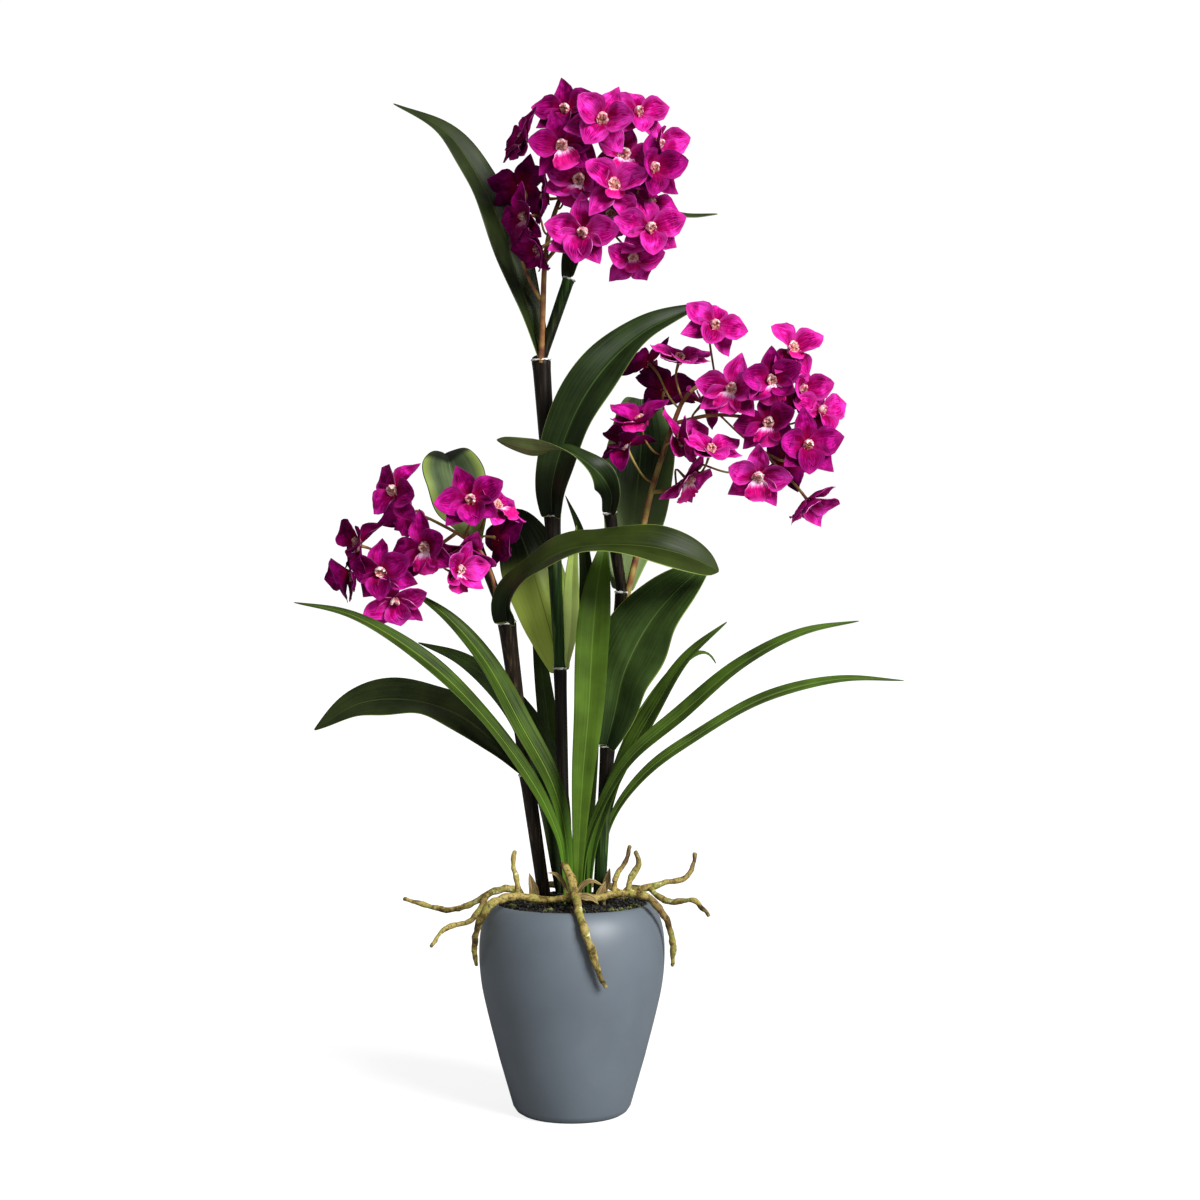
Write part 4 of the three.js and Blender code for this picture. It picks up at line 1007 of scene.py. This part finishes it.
def cane_outline(joints):
    """Points and radii of a cane: each internode has a narrow neck and flares to a collar at its joint."""
    route = [joints[0]]
    for number, (low, high) in enumerate(zip(joints, joints[1:])):
        neck = min(low[3], high[3]) * NECK
        levels = [(0.04, neck * 1.02), (0.1, neck * 0.98), (0.5, between(neck, high[3], 0.3)),
                  (0.8, between(neck, high[3], 0.62)), (0.93, high[3] * 0.95), (0.985, high[3] * 1.02)]
        for share, radius in levels[0 if number else 2:]:
            route.append((*(between(a, b, share) for a, b in zip(low[:3], high[:3])), radius))
        route.append((*high[:3], high[3] * 0.97))
    return route


def torn_ring(centre, heading, radius, seed):
    """The torn flash round a cane's joint: an uneven thin ring."""
    bpy.ops.mesh.primitive_torus_add(
        major_segments=28, minor_segments=6, major_radius=radius * MM, minor_radius=RING_THICKNESS / 2 * MM,
        location=centre * MM, rotation=Vector((0, 0, 1)).rotation_difference(heading).to_euler(),
    )
    ring = bpy.context.object
    put_in_mesh(ring)
    work_on(ring)
    bpy.ops.mesh.select_all(action="SELECT")
    roughen(0.55, seed)
    done(ring)
    dress(ring, FLASH)
    smooth(ring, 60)
    return ring


for number, (name, joints) in enumerate(CANES.items()):
    outline = cane_outline(joints)
    route = Route(outline)
    count = (len(outline) - 1) * 2
    centres, radii = [], []
    for i in range(count + 1):
        before = min(i // 2, len(outline) - 2)
        centres.append(route.by_point(i / count) * MM)
        radii.append(between(outline[before][3], outline[before + 1][3], i / 2 - before) * MM)
    cane = ring_limb(centres, radii, CANE_SIDES, CANE_FLUTE)
    dress(cane, CANE_FINISHES[name])
    smooth(cane, 70)
    rings = []
    for i, joint in enumerate(joints[1:], start=1):
        heading = (Vector(joint[:3]) - Vector(joints[i - 1][:3])).normalized()
        rings.append(torn_ring(Vector(joint[:3]), heading, joint[3] * 0.99, number * 5 + i))
    hand_in(join([cane, *rings]), name + "_stem", "cane", name)


# ---- Leaves ----

# A broad leaf's upper face, and its back where that isn't LEAF_BACK. A strap is alike on both sides.
LEAF_FACES = dict(
    leaf_top_left=DEEP_LEAF, leaf_top_right=DEEP_LEAF, leaf_high_right=HIGH_LEAF, leaf_arched_left=HIGH_LEAF,
    leaf_front_arch=ARCH_LEAF, leaf_right_broad=BROAD_LEAF, leaf_behind_right=HIND_LEAF,
    leaf_behind_left=DEEP_LEAF, leaf_folded_tip=FOLDED_LEAF, leaf_low_left=DEEP_LEAF, leaf_light=PALE_LEAF,
)
LEAF_BACKS = dict(
    leaf_arched_left=LIT_ARCH_BACK, leaf_behind_left=PAINTED_LIGHT_SHEATH, leaf_folded_tip=DEEP_LEAF, leaf_light=PALE_LEAF,
)
# The left straps wear the shaded copy and the right ones the lit copy: painted shade and painted light
STRAP_FINISHES = dict(
    strap_far_left=SHADED_STRAP, strap_left=SHADED_STRAP, strap_left_back=STRAP_DEEP, strap_centre=STRAP,
    strap_right_low=LIT_STRAP, strap_right=LIT_STRAP, strap_right_short=LIT_STRAP,
    strap_right_curl=STRAP, strap_back_tall=STRAP_DEEP, strap_back_left=STRAP_DEEP,
)
BROAD_GRID, STRAP_GRID, SCALE_GRID = (8, 30), (6, 34), (6, 8)  # columns and rows
USUAL_GUTTER = 0.75


def leaf_swell(along, foot, peak, tip, rise):
    if along < peak:
        return between(foot, 1, math.sin(along / peak * math.pi * 0.5) ** rise)
    return max(math.cos((along - peak) / (1 - peak) * math.pi * 0.5) ** tip, 0.03)


def leaf_stations(shape, route, rows, ripple, clasp):
    """Where each row of a leaf goes. Its foot is folded round the stem, and its margin rolls a little."""
    faces = [Vector(face) for face in shape["faces"]]
    phase = next(draw) * math.tau
    waves = between(1.6, 2.6, next(draw))
    stations = []
    for row in range(rows + 1):
        along = row / rows
        heading = route.heading(along)
        hint = min(along * (len(faces) - 1), len(faces) - 1.001)
        up = faces[int(hint)].lerp(faces[int(hint) + 1], hint - int(hint))
        up = (up - heading * up.dot(heading)).normalized()
        swell = leaf_swell(along, *(shape.get(key, usual) for key, usual in BLADE_SHAPE.items()))
        half = shape["width"] / 2 * swell
        roll = math.radians(ripple) * math.sin(along * math.tau * waves + phase) * math.sin(along * math.pi)
        fold = between(clasp, 1, min(along * 5, 1)) * between(1, shape.get("gutter", USUAL_GUTTER), along)
        rotation = Matrix((heading.cross(up), heading, up)).transposed() @ Matrix.Rotation(roll, 3, "Y")
        stations.append((route.by_length(along) * MM, rotation, half * MM, half * fold * MM))
    return stations


def leaf_section(side):
    """A gutter with a sharp midrib and margins that turn down a little."""
    away = abs(side)
    return 0.36 * away - 0.1 * away ** 3 - 0.035 * math.exp(-(away / 0.1) ** 2)


def strap_section(side):
    away = abs(side)
    return 0.42 * away - 0.12 * away ** 2


def grow_blade(shape, grid, section, finishes, ripple, clasp, thickness=LEAF_THICKNESS):
    """A leaf, strap or scale on its route. `ripple` is how far its margin rolls, in degrees, and `clasp` how
    much more its foot is folded."""
    columns, rows = grid
    route = Route(shape["route"])
    stations = leaf_stations(shape, route, rows, ripple, clasp)
    return blade(stations, columns, section, finishes, thickness, (shape["width"] * MM, route.length * MM))


def dry_scale(shape, ripple, clasp):
    """A papery bract or scale."""
    finishes = (KRAFT, KRAFT)
    scale = grow_blade(shape, SCALE_GRID, strap_section, finishes, ripple, clasp, SCALE_THICKNESS)
    smooth(scale, 60)
    return scale


draw = seeded(LEAF_SEED)
for name, shape in {**BROAD_LEAVES, **STRAP_LEAVES}.items():
    if name in BROAD_LEAVES:
        finishes = (LEAF_FACES[name], LEAF_BACKS.get(name, LEAF_BACK))
        leaf = grow_blade(shape, BROAD_GRID, leaf_section, finishes, ripple=7, clasp=2.2)
    else:
        finishes = (STRAP_FINISHES[name], STRAP_FINISHES[name])
        leaf = grow_blade(shape, STRAP_GRID, strap_section, finishes, ripple=5, clasp=1.5)
    finish_with(leaf, "SUBSURF", levels=1, render_levels=1)
    smooth(leaf, 70)
    hand_in(leaf, name + "_blade", name.split("_")[0], name)

for name, shape in BRACTS.items():
    hand_in(dry_scale(shape, ripple=12, clasp=1.4), name + "_scale", "bract", name)
crown_scales = [dry_scale(shape, ripple=16, clasp=1.6) for shape in CROWN_SCALES]
hand_in(join(crown_scales), "crown_scales", "bract")


# ---- Roots ----

ROOT_SIDES = 10
ROOT_STEP = 4  # from one ring of a root to the next
WANDER, KNOB_DEPTH = 1.1, 2.2

knobs = clouds("root_knobs", 7, 2)
for number, (name, routes) in enumerate(ROOTS.items()):
    draw = seeded(ROOT_SEED + number)
    limbs = []
    for points in routes:
        route = Route(points)
        count = max(int(route.length / ROOT_STEP), 6)
        centres, radii = [], []
        for i in range(count + 1):
            reached = i / count * (len(points) - 1)
            index = min(int(reached), len(points) - 2)
            radius = between(points[index][3], points[index + 1][3], reached - index)
            wander = Vector([next(draw) - 0.5 for _ in range(3)]) * WANDER
            centres.append((route.by_point(i / count) + wander) * MM)
            radii.append(max(radius, THINNEST_ROOT) * between(0.86, 1.2, next(draw)) * MM)
        limb = ring_limb(centres, radii, ROOT_SIDES)
        finish_with(limb, "SUBSURF", levels=1, render_levels=1)
        limbs.append(limb)
    bundle = join(limbs)
    crumple(bundle, knobs, KNOB_DEPTH)
    dress(bundle, BARK)
    smooth(bundle, 80)
    hand_in(bundle, name + "_bundle", "root", name)


# ---- Flowers ----

# Half a blade's width, as a share of its widest, at shares of its length
SEPAL_FORM = dict(
    width=21, length=32,
    half=[(0, 0.3), (0.16, 0.66), (0.32, 0.94), (0.44, 1), (0.6, 0.88), (0.76, 0.58), (0.9, 0.24), (1, 0.02)],
)
PETAL_FORM = dict(
    width=26, length=32,
    half=[(0, 0.2), (0.14, 0.54), (0.3, 0.86), (0.47, 1), (0.63, 0.93), (0.77, 0.7), (0.9, 0.35), (1, 0.02)],
)
LIP_FORM = dict(
    width=25, length=23,
    half=[(0, 0.24), (0.14, 0.44), (0.34, 0.74), (0.56, 0.98), (0.75, 1), (0.9, 0.76), (1, 0.34)],
)
# Some lips are plain and shaped like a petal, some are frilled, and some small
PLAIN, FRILLED, SMALL = range(3)
PLAIN_FORM = {**PETAL_FORM, "width": 25, "length": 26}
SMALL_FORM = {**LIP_FORM, "width": 17, "length": 15}
# A floret's form: how steeply its sepals and its petals leave and how they curl, in degrees, how hollow they
# are, its lip, and how its hood is turned
FLORET_FORMS = [
    (6, 16, 24, 0.5, PLAIN, -28), (16, 38, 24, 0.62, FRILLED, 14), (0, 6, -22, 0.4, PLAIN, 36),
    (24, 26, 6, 0.58, FRILLED, -12), (-8, 28, 34, 0.5, PLAIN, 24), (12, 4, 18, 0.42, FRILLED, -40),
    (-4, 34, -12, 0.66, SMALL, 6),
]
HOOD_OUTLINE = [(2.7, 0.2), (4.2, 2.2), (5, 4.4), (5.2, 6), (4.6, 7.2), (3.5, 7), (2.7, 5.9), (1.4, 4.9)]
HOOD_SIDES = 16
THROAT_RADIUS = 3.3
# Where a floret's petals stand, and how far its lower sepals stand off its lip, in degrees. They stand
# closer to a small lip.
PETALS_AT = (76, 284)
SEPALS_OFF, SEPALS_OFF_SMALL = 48, 34
OUTER = (PETAL, PETAL_BACK, CUT_EDGE)
STALK_STEPS, PEDICEL_STEPS = 24, 14
PEDICEL_REACH, PEDICEL_DROP = 13, 14  # straight back from its floret, then down to its joint


def petal_section(side):
    """Across a blade: a hollow with a crease along its middle."""
    return 0.72 * side * side + 0.28 * abs(side)


def lip_section(side):
    """Across the lip: a flatter hollow, pleated more and more towards its margins."""
    return 0.6 * side * side + 0.26 * abs(side) * math.sin(side * 12)


def petal_blade(
    form, lift, curl, hollow, frill=0.0, columns=10, rows=12, section=petal_section, finishes=OUTER,
):
    """One blade of a floret from its foot: `lift` is how steeply it leaves, `curl` how it turns on the way,
    in degrees, `hollow` how deep it is across, and `frill` how much its margin waves."""
    stations = []
    place, step = Vector((0, 1, 0)), form["length"] / rows
    for row in range(rows + 1):
        along = row / rows
        angle = math.radians(lift + curl * along)
        half = form["width"] / 2 * follow(form["half"], along)
        wave = frill * along * math.sin(row * 1.9)
        depth = half * (hollow * math.sin(math.pi * min(along + 0.12, 1)) + wave) + 0.02
        stations.append((place * MM, Matrix.Rotation(angle, 3, "X"), half * MM, depth * MM))
        place = place + Vector((0, math.cos(angle), math.sin(angle))) * step
    return blade(stations, columns, section, finishes, PETAL_THICKNESS, (1, 1))


def lip_blade(kind, vary):
    """A floret's lip. `vary` draws how far its lift, its curl and its hollow differ from the usual."""
    if kind == PLAIN:
        return petal_blade(PLAIN_FORM, 26 + vary(12), -30 + vary(20), 0.5 + vary(0.2))
    form, columns, rows = (SMALL_FORM, 10, 10) if kind == SMALL else (LIP_FORM, 16, 14)
    return petal_blade(
        form, 40 + vary(10), -56 + vary(20), 0.42 + vary(0.16), 0.3, columns, rows, lip_section,
        (LIP, PETAL, CUT_EDGE),
    )


def hood(turned, size):
    """The hood in a floret's middle: a thick cream arch over a tan throat, open below towards the lip."""
    cup = turned_shell(HOOD_OUTLINE, HOOD_SIDES)
    dress(cup, CREAM, THROAT)
    for face in cup.data.polygons:
        face.material_index = int(face.center.xy.length < THROAT_RADIUS * MM and face.center.z > 2 * MM)
    work_on(cup)
    bpy.ops.mesh.select_all(action="SELECT")
    bpy.ops.transform.resize(value=(size, 1.25 * size, 1.0), center_override=(0, 0, 0))
    # Its front is pushed down to open it, and its back drawn up into a peak
    pick(cup, lambda vertex: vertex.co.z > 4 * MM and vertex.co.y < -2.4 * MM)
    bpy.ops.transform.translate(value=(0, -0.6 * MM, -4.2 * MM))
    pick(cup, lambda vertex: vertex.co.z > 4.8 * MM and vertex.co.y > 1.2 * MM)
    bpy.ops.transform.translate(value=(0, -1.4 * MM, 1.6 * MM))
    bpy.ops.mesh.select_all(action="SELECT")
    roughen(0.75, turned + 60)
    turn(Matrix.Rotation(math.radians(turned), 3, "Z"), (0, 0, 0))
    return done(cup)


crinkle = clouds("petal_crinkle", 11, 1)
ruffle = clouds("petal_ruffle", 4.5, 0)


def floret_model(number, sepal_lift, petal_lift, curl, hollow, lip_kind, hood_turn):
    """A whole floret, looking along +Z with its top at +Y."""
    draw = seeded(FLORET_SEED + number)

    def vary(amount):
        return (next(draw) - 0.5) * 2 * amount

    parts = []
    off = SEPALS_OFF_SMALL if lip_kind == SMALL else SEPALS_OFF
    for angle in (0, 180 - off, 180 + off):
        sepal = petal_blade(SEPAL_FORM, sepal_lift + vary(12), curl + vary(22), hollow + vary(0.16))
        parts.append((sepal, angle, 0))
    for angle in PETALS_AT:
        petal = petal_blade(PETAL_FORM, petal_lift + vary(12), curl * 0.6 + vary(24), hollow + vary(0.16))
        parts.append((petal, angle, 1.0))
    parts.append((lip_blade(lip_kind, vary), 180, 0.6))
    for part, angle, ahead in parts:
        turned = Matrix.Rotation(math.radians(angle + vary(10)), 4, "Z")
        part.matrix_world = Matrix.Translation((0, 0, ahead * MM)) @ turned
        put_in_mesh(part)
    floret = join([*(part for part, _, _ in parts), hood(hood_turn, 0.82 + 0.04 * number)])
    crumple(floret, crinkle, 2.2 + number * 0.2, "Z")
    crumple(floret, ruffle, 1.1, "Z")
    smooth(floret, 50)
    return floret


def looking(turned, nod):
    """The way that a floret looks: turned to the right from the viewer, then nodded up, in degrees."""
    t, n = math.radians(turned), math.radians(nod)
    return Vector((math.sin(t) * math.cos(n), -math.cos(t) * math.cos(n), math.sin(n)))


def painted_shade_finishes(spray, number, turned):
    """Painted shade: florets that look back or to the left, away from the key light, get shaded copies of
    their finishes, and some others get half-shaded ones.
    """
    if turned < -45 or turned > 100:
        return SHADED_FINISHES
    if number % 4 == 3 or turned < -15 or (spray == "spray_left" and number % 2):
        return HALF_SHADED_FINISHES
    return {}


def stem(place_at, levels, steps):
    """One stem for stem_curve, from where it is and how thick at shares from 0 to 1 of its way."""
    shares = [i / steps for i in range(steps + 1)]
    return [place_at(s) * MM for s in shares], [follow(levels, s) * MM for s in shares]


def pedicel(place, look, joints):
    """A floret's own stem, which leaves its back and goes down to the nearest joint that is still free."""
    behind = place - look * PEDICEL_REACH
    below = Vector((behind.x, behind.y, behind.z - PEDICEL_DROP))
    joints.sort(key=lambda joint: (joint - below).length)
    root = joints.pop(0)
    middle = behind.lerp(root, 0.55) + Vector((0, 0, -4))
    route = Route([place - look * 0.5, behind, middle, root])
    levels = [(0, 1.6), (0.2, 1.25), (0.4, PEDICEL_RADIUS), (1, PEDICEL_RADIUS)]
    return stem(route.by_length, levels, PEDICEL_STEPS)


floret_models = [floret_model(number, *form) for number, form in enumerate(FLORET_FORMS)]
for name, plan in SPRAYS.items():
    draw = seeded(plan["seed"])
    joints, stems, blooms = [], [], []
    for points in plan["stalks"]:
        route = Route(points)
        spaces = math.ceil(route.length / JOINT_SPACING)
        joints += [route.by_length(i / spaces) for i in range(1, spaces + 1)]
        levels = [(i / (len(points) - 1), point[3]) for i, point in enumerate(points)]
        stems.append(stem(route.by_point, levels, STALK_STEPS))
    for number, (x, y, z, turned, nod, *size) in enumerate(plan["florets"]):
        place, look = Vector((x, y, z)), looking(turned, nod)
        right = Vector((-look.y, look.x, 0)).normalized()
        roll = (next(draw) - 0.5) * 0.5 + (number * 3 % 5 - 2) * 0.08
        scale = (size[0] if size else 1) * (0.94 + next(draw) * 0.1)
        basis = Matrix((right, look.cross(right), look)).transposed().to_4x4()
        spin = basis @ Matrix.Rotation(roll, 4, "Z") @ Matrix.Scale(scale, 4)
        model = floret_models[(number * 5 + plan["seed"]) % len(floret_models)]
        bloom = copy_of(model, Matrix.Translation(place * MM) @ spin)
        swaps = painted_shade_finishes(name, number, turned)
        for i, finish in enumerate(bloom.data.materials):
            bloom.data.materials[i] = swaps.get(finish.name, finish)
        blooms.append(bloom)
        stems.append(pedicel(place, look, joints))
    stalks = stem_curve(stems)
    dress(stalks, TAPE)
    smooth(stalks, 80)
    hand_in(join([*blooms, stalks]), name + "_florets", "spray", name)
for model in floret_models:
    bpy.data.objects.remove(model)
